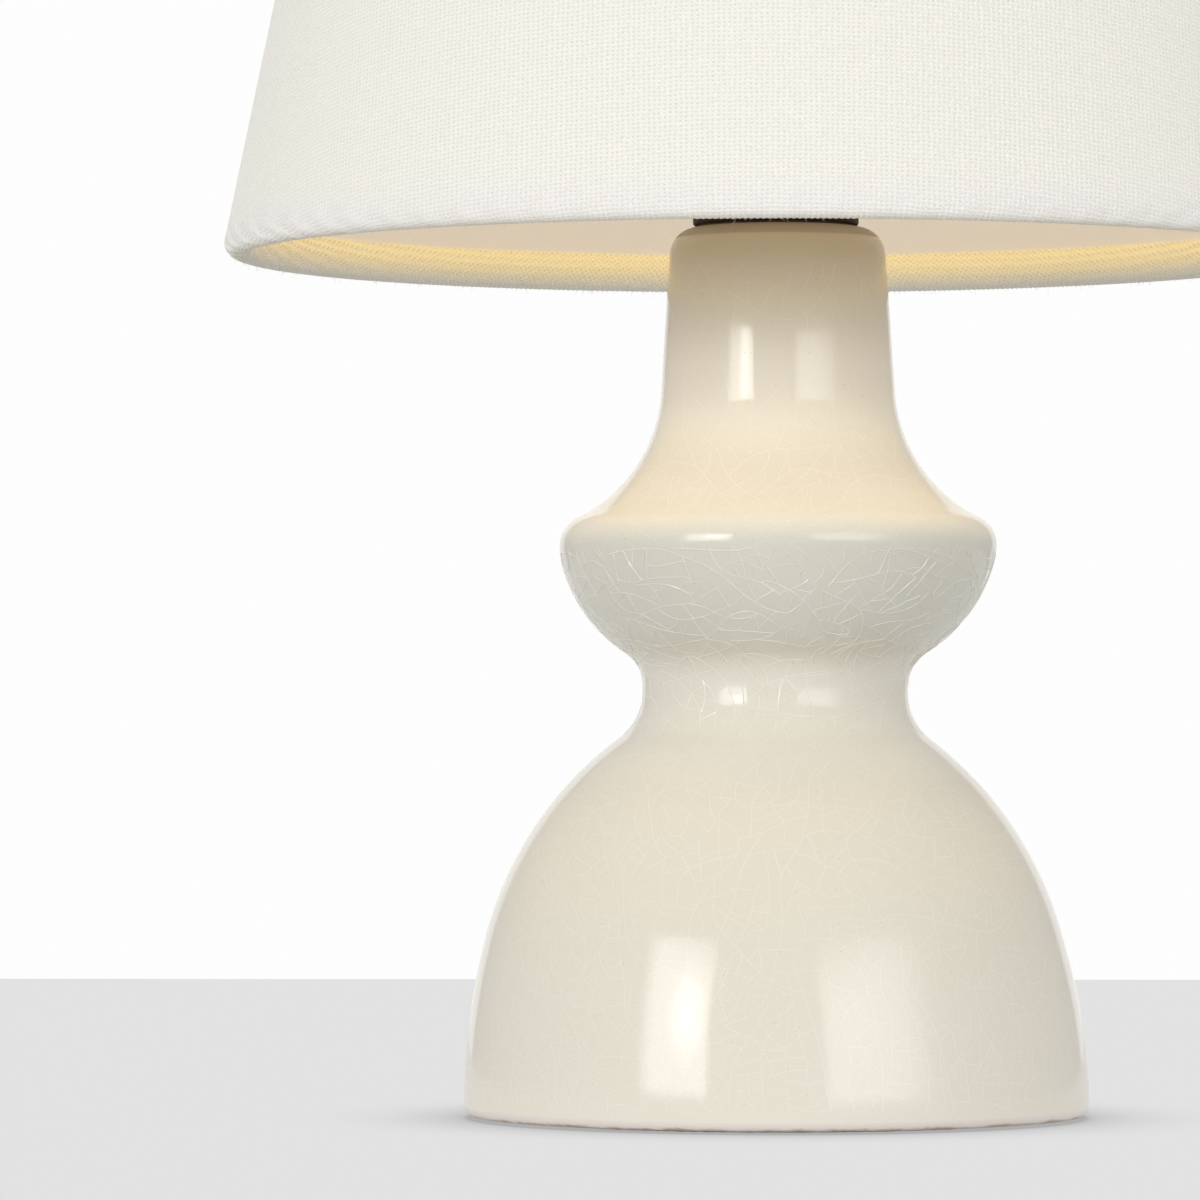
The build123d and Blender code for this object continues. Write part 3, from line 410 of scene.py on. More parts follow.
def woven_cloth():
    """Plain weave of slubby white yarn on the cloth's own flat cut, with painted shade in the gaps between
    the threads.
    """
    made, tree, shader = material("woven_cloth", roughness=0.92)
    shader.inputs["Specular IOR Level"].default_value = 0.2
    shader.inputs["Sheen Weight"].default_value = 0.4
    shader.inputs["Sheen Roughness"].default_value = 0.6
    flat = add(tree, "UVMap", uv_map="flat_cut").outputs[0]
    slub = add(tree, "TexNoise", {"Vector": flat, "Scale": 0.35, "Detail": 2.0}, noise_dimensions="2D")
    slub = add(tree, "VectorMath", {0: slub.outputs["Color"], 1: (0.5, 0.5, 0.5)}, operation="SUBTRACT")
    slub = add(tree, "VectorMath", {0: slub.outputs[0], "Scale": 0.5}, operation="SCALE").outputs[0]
    lay = add(tree, "VectorMath", {0: flat, 1: slub}, operation="ADD").outputs[0]
    lay = add(tree, "SeparateXYZ", {0: lay}).outputs
    across = calc(tree, "DIVIDE", lay[0], WARP_PITCH)
    up = calc(tree, "DIVIDE", lay[1], WEFT_PITCH)
    warp = calc(tree, "COSINE", calc(tree, "MULTIPLY", across, 2 * math.pi))
    weft = calc(tree, "COSINE", calc(tree, "MULTIPLY", up, 2 * math.pi))
    # each yarn rises over one and under the next
    over = calc(
        tree,
        "MULTIPLY",
        calc(tree, "COSINE", calc(tree, "MULTIPLY", across, math.pi)),
        calc(tree, "COSINE", calc(tree, "MULTIPLY", up, math.pi)),
    )
    warp_top = calc(tree, "MULTIPLY_ADD", over, 0.5, calc(tree, "MULTIPLY", warp, 0.5))
    weft_top = calc(tree, "MULTIPLY_ADD", over, -0.5, calc(tree, "MULTIPLY", weft, 0.5))
    top = calc(tree, "MAXIMUM", warp_top, weft_top)
    gap = calc(tree, "MULTIPLY", ramp(tree, warp, 0.3, -1.0), ramp(tree, weft, 0.3, -1.0))
    # each yarn has a tone of its own
    tones = []
    for count in (across, up):
        number = calc(tree, "ROUND", count)
        tones.append(add(tree, "TexWhiteNoise", {"W": number}, noise_dimensions="1D").outputs[0])
    yarn = calc(tree, "MULTIPLY_ADD", calc(tree, "ADD", *tones), 0.015, 0.97)
    white = mixed(tree, 1.0, CLOTH_WHITE, grey(tree, yarn), "MULTIPLY")
    fuzz = add(tree, "TexNoise", {"Vector": flat, "Scale": 1.6, "Detail": 3.0}, noise_dimensions="2D")
    fuzz = fuzz.outputs[0]
    fuzzy = calc(tree, "MULTIPLY", ramp(tree, fuzz, 0.4, 0.8), 0.10)
    white = mixed(tree, fuzzy, white, CLOTH_FUZZ)
    glow = add(tree, "Attribute", attribute_name="lamp_light").outputs["Color"]
    parts = add(tree, "SeparateColor", {0: glow}).outputs
    warm = calc(tree, "MULTIPLY", calc(tree, "SUBTRACT", parts[0], parts[2]), 1.6, clamp=True)
    # painted shade in the gaps between the yarns, deeper where the yarn is fuzzy and where the lamp's light
    # is warm
    gap_shade_depth = calc(tree, "MULTIPLY_ADD", fuzz, 0.34, calc(tree, "MULTIPLY_ADD", warm, 0.36, 0.02))
    gap_shade = calc(tree, "MULTIPLY", gap, gap_shade_depth)
    join(tree, mixed(tree, gap_shade, white, CLOTH_GAP_SHADE), shader, "Base Color")
    bumped(tree, shader, top, 0.15 * MM, 0.8)

    # the lamp's warm light comes through the wall and the fold inside, less through the rolled hem
    shut = calc(tree, "MULTIPLY", gap_shade, 0.9)
    join(tree, mixed(tree, shut, glow, GAP_LIGHT), shader, "Emission Color")
    shader.inputs["Emission Strength"].default_value = 1.0
    return made


def lining_sheet():
    """Stiff translucent sheet with a faint fibre mottle, that daylight comes through."""
    made, tree, shader = material("lining_sheet", roughness=0.6)
    fibres = clouds(tree, places(tree), 240.0, 5.0)
    join(tree, mixed(tree, fibres, (0.76, 0.72, 0.67), (0.82, 0.78, 0.73)), shader, "Base Color")
    dimmer = tuple(value * 0.92 for value in LINING_LIGHT)
    join(tree, mixed(tree, fibres, dimmer, LINING_LIGHT), shader, "Emission Color")
    shader.inputs["Emission Strength"].default_value = 1.0
    bumped(tree, shader, fibres, 0.02 * MM)
    return made


def felt():
    """Dark felt with matted fibres."""
    made, tree, shader = material("felt", roughness=0.95)
    shader.inputs["Sheen Weight"].default_value = 0.4
    place = places(tree)
    fibres = {"Vector": place, "Scale": 900.0, "Detail": 6.0, "Distortion": 1.5}
    mat = add(tree, "TexNoise", fibres).outputs[0]
    clump = clouds(tree, place, 160.0, 3.0)
    tone = mixed(tree, mat, (0.035, 0.03, 0.028), (0.16, 0.145, 0.13))
    clumped = calc(tree, "MULTIPLY", clump, 0.4)
    join(tree, mixed(tree, clumped, tone, (0.09, 0.08, 0.07)), shader, "Base Color")
    bumped(tree, shader, calc(tree, "ADD", mat, clump), 0.25 * MM)
    return made


def lit_opal(name, color, glow, strength):
    """Milky, faintly clouded plastic that the light inside makes glow."""
    made, tree, shader = material(name, roughness=0.35)
    cloud = clouds(tree, places(tree), 90.0, 2.0)
    join(tree, mixed(tree, cloud, color, tuple(c * 0.95 for c in color)), shader, "Base Color")
    join(tree, mixed(tree, cloud, glow, tuple(c * 0.92 for c in glow)), shader, "Emission Color")
    shader.inputs["Emission Strength"].default_value = strength
    return made


def circuit_board(name, resist, copper):
    """Board with traces under its coloured coat and tinned pads."""
    made, tree, shader = material(name, roughness=0.4)
    place = places(tree)
    tracks = add(tree, "TexBrick", {"Vector": place, "Scale": 300.0, "Mortar Size": 0.06}).outputs["Fac"]
    pads = add(tree, "TexVoronoi", {"Vector": place, "Scale": 420.0}, feature="F1").outputs["Distance"]
    pad = calc(tree, "LESS_THAN", pads, 0.2)
    coat = mixed(tree, calc(tree, "MULTIPLY", tracks, 0.6), resist, copper)
    tinned = calc(tree, "MULTIPLY", pad, 0.8)
    join(tree, mixed(tree, tinned, coat, (0.66, 0.64, 0.58)), shader, "Base Color")
    bumped(tree, shader, calc(tree, "ADD", tracks, pad), 0.04 * MM)
    return made


def clear_rod():
    """Clear plastic with faint flow lines."""
    made, tree, shader = material("clear_rod", roughness=0.1, ior=1.49)
    shader.inputs["Transmission Weight"].default_value = 0.9
    flow = clouds(tree, places(tree), 500.0, 1.0)
    join(tree, mixed(tree, flow, (0.88, 0.90, 0.90), (0.96, 0.97, 0.97)), shader, "Base Color")
    return made


def placed(name, data):
    """An object with this data, put in the scene."""
    made = bpy.data.objects.new(name, data)
    bpy.context.scene.collection.objects.link(made)
    return made


def piece(name, verts, faces, body, look, smooth=True):
    """A mesh piece that rides on a body of the lamp."""
    mesh = bpy.data.meshes.new(name)
    mesh.from_pydata([tuple(v) for v in verts], [], faces)
    mesh.update()
    if smooth:
        mesh.shade_smooth()
    made = placed(name, mesh)
    mesh.materials.append(look)
    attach(made, body)
    return made


def turned_outline(node):
    """Radius and height of a turned piece's outer skin, from its foot to its top."""
    mesh = nodes[node].data
    found = {}
    for face in mesh.polygons:
        middle = Vector((face.center.x, face.center.y, 0))
        if middle.length and face.normal.dot(middle.normalized()) > 0.01:
            for index in face.vertices:
                point = mesh.vertices[index].co
                found[round(point.z, 6)] = math.hypot(point.x, point.y)
    return [(found[z], z) for z in sorted(found)]


def smooth_line(points, step):
    """Points on a smooth curve through these points, about a step apart."""
    points = [Vector(p) for p in points]
    line = []
    for index in range(len(points) - 1):
        first, second = points[index], points[index + 1]
        before = points[index - 1] if index else first * 2 - second
        after = points[index + 2] if index + 2 < len(points) else second * 2 - first
        count = max(1, round((second - first).length / step))
        chord = (second - first).length
        lead = (second - before) * (chord / max((second - before).length, 1e-9))
        trail = (after - first) * (chord / max((after - first).length, 1e-9))
        for part in range(count):
            t = part / count
            line.append(
                first * (2 * t**3 - 3 * t**2 + 1)
                + lead * (t**3 - 2 * t**2 + t)
                + second * (3 * t**2 - 2 * t**3)
                + trail * (t**3 - t**2)
            )
    line.append(points[-1])
    return line


def body_spot(radius, height, angle):
    """A place on the body's skin, with the slight unevenness and lean of a hand-thrown pot."""
    point = Vector((radius * math.cos(angle), radius * math.sin(angle), height))
    uneven = noise.noise(point * 45.0) * 0.08 * MM + noise.noise(point * 14.0) * 0.14 * MM
    settle = min(1.0, max(0.0, (height - 3 * MM) / (12 * MM)))
    settle *= min(1.0, max(0.0, (BODY_TOP - height) / (8 * MM)))
    grown = 1.0 + uneven * settle / max(radius, 1e-6)
    lean = float(np.interp(height, LEAN_HEIGHTS, LEAN_SHIFTS)) * MM
    return Vector((point.x * grown + lean, point.y * grown, height))


def thrown_body():
    """The ceramic body's outer skin, turned finely, with the rebate in its foot. Gives back its outline."""
    outline = smooth_line(turned_outline("ceramic_body"), 0.6 * MM)
    foot = [
        Vector((FOOT_INSIDE, FOOT_SEAT)),
        Vector((FOOT_REBATE, FOOT_SEAT)),
        Vector((FOOT_REBATE, outline[0].y)),
    ]
    inside = [Vector((NECK_BORE, BODY_TOP)), Vector((NECK_BORE, BODY_TOP - NECK_DEPTH))]
    line = foot + outline + inside
    verts, faces = [], []
    for radius, height in line:
        for turn in range(BODY_TURNS):
            verts.append(body_spot(radius, height, 2 * math.pi * turn / BODY_TURNS))
    for ring in range(len(line) - 1):
        for turn in range(BODY_TURNS):
            a = ring * BODY_TURNS + turn
            b = ring * BODY_TURNS + (turn + 1) % BODY_TURNS
            faces.append((a, b, b + BODY_TURNS, a + BODY_TURNS))
    made = piece("glazed_body", verts, faces, "base", crackle_glaze())
    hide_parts("ceramic_body")
    return outline


def crack_zone(height):
    """How far apart cracks lie at this height, how pale and raised they are, their slant and its spread."""
    return next((zone[1:] for zone in CRACK_ZONES if height < zone[0] * MM), CRACK_ZONES[-1][1:])


class CrackedSkin:
    """The glaze as it cracks: long curves first, then shorter ones that end on those."""

    STEP = 0.5 * MM
    TOUCH = 0.42 * MM
    CELL = 1.4 * MM

    def __init__(self, outline, chance):
        """The skin over this outline, before any crack, with the source of its random draws."""
        self.radii = np.array([point.x for point in outline])
        self.heights = np.array([point.y for point in outline])
        steps = np.hypot(np.diff(self.radii), np.diff(self.heights))
        self.runs = np.concatenate(([0.0], np.cumsum(steps)))
        self.chance = chance
        self.cracks = []
        self.near = {}
        self.low = float(np.interp(3.2 * MM, self.heights, self.runs))
        self.high = self.runs[-1] - 9.0 * MM

    def height(self, run):
        """Height at this way up the outline."""
        return float(np.interp(run, self.runs, self.heights))

    def radius(self, run):
        """Radius at this way up the outline."""
        return float(np.interp(run, self.runs, self.radii))

    def spot(self, run, angle):
        """The place on the skin at this way up the outline and this angle."""
        return body_spot(self.radius(run), self.height(run), angle)

    def normal(self, run, angle):
        """The way that the skin faces there."""
        below, above = run - 0.2 * MM, run + 0.2 * MM
        rise = self.height(above) - self.height(below)
        fall = self.radius(below) - self.radius(above)
        return Vector((math.cos(angle) * rise, math.sin(angle) * rise, fall)).normalized()

    def cell(self, point):
        """The cell of space that a point lies in, to find its neighbours by."""
        return tuple(int(math.floor(value / self.CELL)) for value in point)

    def neighbour(self, point, reach, leave_out):
        """The nearest mark of a crack within reach, apart from some cracks."""
        x, y, z = self.cell(point)
        wide = int(math.ceil(reach / self.CELL))
        best, found = reach, None
        for i in range(x - wide, x + wide + 1):
            for j in range(y - wide, y + wide + 1):
                for k in range(z - wide, z + wide + 1):
                    for spot, mark, number in self.near.get((i, j, k), ()):
                        if number not in leave_out and (spot - point).length < best:
                            best, found = (spot - point).length, mark
        return found

    def grow(self, run, angle, heading, longest, leave_out):
        """A crack's marks from its start until it meets another crack or ends by itself."""
        marks = []
        curve = self.chance.gauss(0, 0.045)
        for step in range(int(longest / self.STEP)):
            point = self.spot(run, angle)
            if step > 2:
                met = self.neighbour(point, self.TOUCH, leave_out if step < 5 else ())
                if met:
                    marks.append(met)
                    break
            marks.append((run, angle))
            curve = 0.92 * curve + self.chance.gauss(0, 0.022)
            heading += curve
            angle += math.cos(heading) * self.STEP / self.radius(run)
            run += math.sin(heading) * self.STEP
            if not self.low < run < self.high:
                break
        return marks

    def keep(self, marks):
        """Add a crack, and note where it lies."""
        number = len(self.cracks)
        self.cracks.append(marks)
        for mark in marks:
            point = self.spot(*mark)
            self.near.setdefault(self.cell(point), []).append((point, mark, number))

    def crack(self, count, clearance, shortest, longest):
        """Cracks that start with none near and run both ways, on the zone's slant or to one close by."""
        for _ in range(count):
            run = self.chance.uniform(self.low, self.high)
            radius = self.radius(run)
            if self.chance.random() * self.radii.max() > radius:
                continue
            angle = self.chance.uniform(-math.pi, math.pi)
            spacing, _, _, slant, spread = crack_zone(self.height(run))
            spacing *= self.chance.uniform(0.7, 1.3) * MM
            point = self.spot(run, angle)
            if self.neighbour(point, spacing * clearance, ()):
                continue
            heading = math.radians(self.chance.gauss(slant * self.chance.choice((-1, 1)), spread))
            close = self.neighbour(point, spacing * 1.2, ())
            if close:
                across = math.remainder(close[1] - angle, 2 * math.pi) * radius
                heading = math.atan2(close[0] - run, across) + self.chance.gauss(0, 0.35)
            length = spacing * self.chance.uniform(shortest, longest)
            back = self.grow(run, angle, heading + math.pi, length, ())
            ahead = self.grow(run, angle, heading, length, ())
            marks = back[:0:-1] + ahead
            if len(marks) > 4:
                self.keep(marks)


def glaze_cracks(outline):
    """Fine ridges where the glaze has crazed, each a closed three-sided bead sunk into the skin."""
    skin = CrackedSkin(outline, random.Random(CRACK_SEED))
    skin.crack(FIRST_CRACKS, clearance=1.1, shortest=8, longest=20)
    skin.crack(LATER_CRACKS, clearance=0.42, shortest=4, longest=12)
    verts, faces, crack_tone_and_relief_light = [], [], []
    for marks in skin.cracks:
        points = [skin.spot(*mark) for mark in marks]
        start = len(verts)
        last = len(points) - 1
        strong = skin.chance.uniform(0.75, 1.1)
        for index, point in enumerate(points):
            run, angle = marks[index]
            ahead = points[min(index + 1, last)] - points[max(index - 1, 0)]
            normal = skin.normal(run, angle)
            side = normal.cross(ahead).normalized()
            above = 1.0 if side.z > 0 else -1.0
            _, pale, raised, _, _ = crack_zone(point.z)
            half = CRACK_HALF_WIDTH * (0.6 + 0.4 * pale) * strong * MM
            verts.append(point + side * half - normal * CRACK_SINK * MM)
            verts.append(point + normal * CRACK_LIFT * raised * strong * MM)
            verts.append(point - side * half - normal * CRACK_SINK * MM)
            # the bead's top is pale; its upper side gets painted light and its lower side painted shade
            crack_tone_and_relief_light.extend([above * 0.6 * pale, pale, -above * 0.6 * pale])
        for index in range(last):
            a = start + index * 3
            for corner in range(3):
                b = a + (corner + 1) % 3
                faces.append((a + corner, b, b + 3, a + corner + 3))
        end = start + last * 3
        faces.append((start + 2, start + 1, start))
        faces.append((end, end + 1, end + 2))
    made = piece("glaze_cracks", verts, faces, "base", crazed_line(), smooth=False)
    clear = made.data.attributes.new("clear", "FLOAT", "POINT")
    clear.data.foreach_set("value", np.array(crack_tone_and_relief_light, np.float32))


def cloth_section():
    """The cloth's line in the shade's section from the top fold's edge to the lower one.

    Each point goes with whether it is on the single wall, and with the lamp's light that comes through
    the cloth there."""
    line = []
    dark = Vector((0.0, 0.0, 0.0))

    def roll(ring, start, end, count, *lights):
        """Points round a ring from one angle to another, with lights that change along them."""
        for index in range(count + 1):
            share = index / count
            turn = math.radians(start + (end - start) * share)
            point = ring + (OUTWARD * math.cos(turn) + ALONG * math.sin(turn)) * HEM_RADIUS
            stage = min(int(share * (len(lights) - 1)), len(lights) - 2)
            light = lights[stage].lerp(lights[stage + 1], share * (len(lights) - 1) - stage)
            line.append((point, False, light))

    for index in range(5):
        edge = HIGH_RING - ALONG * HEM_FOLD + OUTWARD * FOLD_INSET
        heel = HIGH_RING - ALONG * HEM_BORE - OUTWARD * HEM_RADIUS
        line.append((edge.lerp(heel, index / 5), False, dark))
    roll(HIGH_RING, 180, 0, 12, dark, CLOTH_LIGHT)
    for index in range(1, WALL_ROWS):
        point = HIGH_RING.lerp(LOW_RING, index / WALL_ROWS) + OUTWARD * HEM_RADIUS
        clear_of_hem = (WALL_LENGTH * (1 - index / WALL_ROWS) - 1.0) / HEM_FOLD
        line.append((point, True, CLOTH_LIGHT.lerp(WALL_LIGHT, min(1.0, max(0.0, clear_of_hem)))))
    heel_light = HEM_LIGHT.lerp(FOLD_LIGHT, 0.35)
    roll(LOW_RING, 0, -180, 16, CLOTH_LIGHT, ROLL_LIGHT, EDGE_LIGHT, HEM_LIGHT, heel_light)
    for index in range(1, 11):
        edge = LOW_RING + ALONG * HEM_FOLD + OUTWARD * FOLD_INSET
        heel = LOW_RING + ALONG * HEM_BORE - OUTWARD * HEM_RADIUS
        lit = min(1.0, 0.8 + index / 30)
        line.append((heel.lerp(edge, index / 10), False, HEM_LIGHT.lerp(FOLD_LIGHT, lit)))
    return line


def lamp_lit(mesh, lights):
    """Note on each point of a cloth piece how brightly the lamp lights it from inside."""
    lit = mesh.attributes.new("lamp_light", "FLOAT_COLOR", "POINT")
    lit.data.foreach_set("color", np.array(lights, np.float32).ravel())


def flat_cut(mesh, cuts):
    """Note on each point of a cloth piece its place on the flat cloth, in millimetres."""
    corner = np.zeros(len(mesh.loops), np.int32)
    mesh.loops.foreach_get("vertex_index", corner)
    layer = mesh.uv_layers.new(name="flat_cut")
    layer.data.foreach_set("uv", np.array(cuts, np.float32)[corner].ravel())


def slit_for_arm(angle, radius):
    """Whether the upper fold is cut away here, for an arm of the frame."""
    return any(
        abs(math.remainder(angle - arm, 2 * math.pi)) * radius < SLIT_HALF_WIDTH for arm in ARM_ANGLES
    )


def shade_cover():
    """The shade's cloth: one flat-cut sheet round the rings, its yarn beaded along the lower hem.

    Gives back its material."""
    line = cloth_section()
    turns = CLOTH_TURNS
    slant_start = SHADE_RADIUS / math.sin(SHADE_LEAN)
    verts, cuts, lights = [], [], []
    runs = [0.0]
    for before, after in zip(line, line[1:]):
        runs.append(runs[-1] + (after[0] - before[0]).length)
    wall_end = next(runs[i] for i, entry in enumerate(line) if entry[1] and not line[i + 1][1])
    for (point, _, light), reach in zip(line, runs):
        slant = slant_start - (wall_end - reach)
        for turn in range(turns):
            angle = 2 * math.pi * turn / turns - math.pi / 2
            spread = (angle + math.pi / 2 + math.pi) % (2 * math.pi) - math.pi
            bead = 0.0
            if reach > wall_end + BEAD_START:
                risen = min(1.0, (reach - wall_end - BEAD_START) / BEAD_RISE)
                bead = HEM_BEAD * math.cos(math.pi * turn) * risen
            way = Vector((math.cos(angle) * 2.2, math.sin(angle) * 2.2, reach * 0.02))
            sway = WALL_SWAY * noise.noise(way)
            radius = (point.x + (bead + sway) * OUTWARD.x) * MM
            height = (point.y - 0.6 * bead) * MM
            verts.append((radius * math.cos(angle), radius * math.sin(angle), height))
            fan = spread * math.sin(SHADE_LEAN)
            cuts.append((slant * math.sin(fan), -slant * math.cos(fan)))
            lights.append((*light, 1.0))
    faces = []
    for ring in range(len(line) - 1):
        top_fold = ring < 11
        for turn in range(turns):
            angle = 2 * math.pi * (turn + 0.5) / turns - math.pi / 2
            if top_fold and slit_for_arm(angle, line[ring][0].x):
                continue
            a, b = ring * turns + turn, ring * turns + (turn + 1) % turns
            faces.append((a, a + turns, b + turns, b))
    made = piece("shade_cover", verts, faces, "shade", woven_cloth())
    flat_cut(made.data, cuts)
    lamp_lit(made.data, lights)
    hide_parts("shade_cloth")
    fan = 2 * math.pi * math.sin(SHADE_LEAN)
    return made.data.materials[0]


def back_seam(look):
    """The glued overlap of the cloth at the back: a narrow strip along the wall."""
    across = len(SEAM_PROFILE)
    verts, faces, cuts = [], [], []
    for row in range(WALL_ROWS + 1):
        point = HIGH_RING.lerp(LOW_RING, row / WALL_ROWS) + OUTWARD * (HEM_RADIUS + 0.12)
        for column, lift in SEAM_PROFILE:
            radius = point.x + lift
            angle = math.pi / 2 + column * SEAM_WIDTH / 2 / point.x
            spot = Vector((radius * math.cos(angle), radius * math.sin(angle), point.y))
            verts.append(spot * MM)
            cuts.append((spot.x + 400.0, spot.z))
    for row in range(WALL_ROWS):
        for column in range(across - 1):
            a = row * across + column
            faces.append((a, a + across, a + across + 1, a + 1))
    made = piece("shade_seam", verts, faces, "shade", look)
    flat_cut(made.data, cuts)
    lamp_lit(made.data, [(*WALL_LIGHT * SEAM_SHARE, 1.0)] * len(verts))


def hem_fibres():
    """Loose ends of yarn that stand out of the lower hem."""
    chance = random.Random(FIBRE_SEED)
    verts, faces = [], []
    for _ in range(FIBRE_COUNT):
        angle = chance.uniform(0, 2 * math.pi)
        turn = math.radians(chance.uniform(-120, -60))
        start = LOW_RING + (OUTWARD * math.cos(turn) + ALONG * math.sin(turn)) * (HEM_RADIUS - 0.05)
        out = Vector((math.cos(angle), math.sin(angle), 0))
        side = Vector((-math.sin(angle), math.cos(angle), 0))
        point = (out * start.x + Vector((0, 0, start.y))) * MM
        heading = out * math.cos(turn) + Vector((0, 0, math.sin(turn))) + side * chance.uniform(-1, 1)
        heading.normalize()
        curl = Vector((chance.uniform(-1, 1), chance.uniform(-1, 1), chance.uniform(-1, 0.5)))
        length = chance.uniform(0.3, 1.3) * MM
        thick = chance.uniform(0.012, 0.022) * MM
        base = len(verts)
        for _ in range(FIBRE_STEPS + 1):
            across = heading.orthogonal().normalized()
            other = heading.cross(across)
            for corner in range(3):
                around = 2 * math.pi * corner / 3
                verts.append(point + (across * math.cos(around) + other * math.sin(around)) * thick)
            heading = (heading + curl * FIBRE_CURL).normalized()
            point = point + heading * (length / FIBRE_STEPS)
        for step in range(FIBRE_STEPS):
            for corner in range(3):
                a = base + step * 3 + corner
                b = base + step * 3 + (corner + 1) % 3
                faces.append((a, b, b + 3, a + 3))
    look = plain_piece("loose_yarn", (0.84, 0.82, 0.77), 0.9)
    piece("hem_fibres", verts, faces, "shade", look)


def felt_pad():
    """The felt disc under the foot, with matted, slightly rounded faces."""
    source = placed("felt_blank", nodes["foot_pad"].data.copy())
    remesh = source.modifiers.new("fine", "REMESH")
    remesh.mode = "VOXEL"
    remesh.voxel_size = 0.55 * MM
    smooth = source.modifiers.new("soft", "SMOOTH")
    smooth.iterations = 2
    evaluated = source.evaluated_get(bpy.context.evaluated_depsgraph_get())
    mesh = bpy.data.meshes.new_from_object(evaluated)
    bpy.data.objects.remove(source)
    low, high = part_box("foot_pad")
    for vertex in mesh.vertices:
        vertex.co.z += noise.noise(vertex.co * 900.0) * 0.05 * MM
        vertex.co.z = min(high.z - 0.01 * MM, max(low.z, vertex.co.z))
    mesh.shade_smooth()
    made = placed("felt_pad", mesh)
    mesh.materials.clear()
    mesh.materials.append(felt())
    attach(made, "base")
    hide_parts("foot_pad")


def dress(look, *names):
    """Give these pieces of the model a material."""
    for name in names:
        mesh = nodes[name].data
        mesh.materials.clear()
        mesh.materials.append(look)


def view_camera():
    """A camera at the picture's viewing angle."""
    scene = bpy.context.scene
    camera = placed("camera", bpy.data.cameras.new("camera"))
    camera.data.sensor_width = FILM_WIDTH
    camera.data.lens = FILM_WIDTH * FOCAL_PIXELS / PICTURE
    camera.data.clip_start = 0.05
    camera.location = (0, -VIEW_DISTANCE, VIEW_HEIGHT)
    pan = math.atan((AXIS_PIXEL - PICTURE / 2) / FOCAL_PIXELS)
    tilt = math.atan((HORIZON_PIXEL - PICTURE / 2) / FOCAL_PIXELS)
    heading = Vector((-math.sin(pan) * math.cos(tilt), math.cos(pan) * math.cos(tilt), math.sin(tilt)))
    facing = heading.to_track_quat("-Z", "Y").to_matrix().to_4x4()
    camera.matrix_world = camera.matrix_world.Translation(camera.location) @ facing
    scene.camera = camera


def pale_floor():
    """A plain grey floor with a soft shadow close to the lamp, that ends at the picture's horizon line."""
    reach = VIEW_HEIGHT * FOCAL_PIXELS / (FLOOR_PIXEL - HORIZON_PIXEL) - VIEW_DISTANCE
    mesh = bpy.data.meshes.new("floor")
    corners = [
        (-FLOOR_REACH, -FLOOR_REACH, FLOOR_LEVEL),
        (FLOOR_REACH, -FLOOR_REACH, FLOOR_LEVEL),
        (FLOOR_REACH, reach, FLOOR_LEVEL),
        (-FLOOR_REACH, reach, FLOOR_LEVEL),
    ]
    mesh.from_pydata(corners, [], [(0, 1, 2, 3)])
    floor = placed("floor", mesh)
    ground = bpy.data.materials.new("floor")
    ground.use_nodes = True
    tree = ground.node_tree
    tree.nodes.clear()
    path = add(tree, "LightPath").outputs
    shown = calc(tree, "ADD", path["Is Camera Ray"], path["Is Glossy Ray"], clamp=True)
    shadow = add(tree, "AmbientOcclusion", {"Distance": 0.03}, samples=24).outputs["AO"]
    seen = mixed(tree, ramp(tree, shadow, 0.25, 1.0), FLOOR_SHADOW, FLOOR_GREY)
    away = add(tree, "VectorMath", {0: places(tree)}, operation="LENGTH").outputs["Value"]
    bounce = mixed(tree, ramp(tree, away, 0.08, 0.28), FLOOR_NEAR, FLOOR_FAR)
    light = add(tree, "Emission", {"Color": mixed(tree, shown, bounce, seen)})
    # from below, the floor is clear, so that the lamp's underside can be seen
    below = add(tree, "NewGeometry").outputs["Backfacing"]
    clear = add(tree, "BsdfTransparent")
    surface = add(tree, "MixShader", {0: below, 1: light.outputs[0], 2: clear.outputs[0]})
    tree.links.new(surface.outputs[0], add(tree, "OutputMaterial").inputs["Surface"])
    mesh.materials.append(ground)


def white_room():
    """White surroundings to look at, and the dimmer room that lights the lamp and shows in its gloss."""
    world = bpy.data.worlds.new("studio")
    bpy.context.scene.world = world
    world.use_nodes = True
    tree = world.node_tree
    tree.nodes.clear()
    path = add(tree, "LightPath").outputs
    shown = calc(tree, "ADD", path["Is Camera Ray"], path["Is Transmission Ray"], clamp=True)
    way = add(tree, "SeparateXYZ", {0: add(tree, "TexCoord").outputs["Generated"]}).outputs
    room = mixed(tree, ramp(tree, way[2], 0.0, 0.75), ROOM_LOW, ROOM_HIGH)
    mirrored = mixed(tree, ramp(tree, way[1], 0.892, 0.912), ROOM_MIRRORED, BACKDROP)
    seen = mixed(tree, shown, mixed(tree, path["Is Glossy Ray"], room, mirrored), BACKDROP)
    light = add(tree, "Background", {"Color": seen})
    tree.links.new(light.outputs[0], add(tree, "OutputWorld").inputs["Surface"])


def lamp_downlight():
    """The lamp's own warm light that falls out of the shade onto the body."""
    light = bpy.data.lights.new("lamp_downlight", "AREA")
    light.shape = "DISK"
    light.size = DOWNLIGHT_WIDTH
    light.energy = DOWNLIGHT
    light.color = LAMP_COLOUR
    light.spread = math.radians(DOWNLIGHT_SPREAD)
    lamp = placed("lamp_downlight", light)
    lamp.visible_glossy = False
    lamp.location = (0, 0, DOWNLIGHT_HEIGHT)


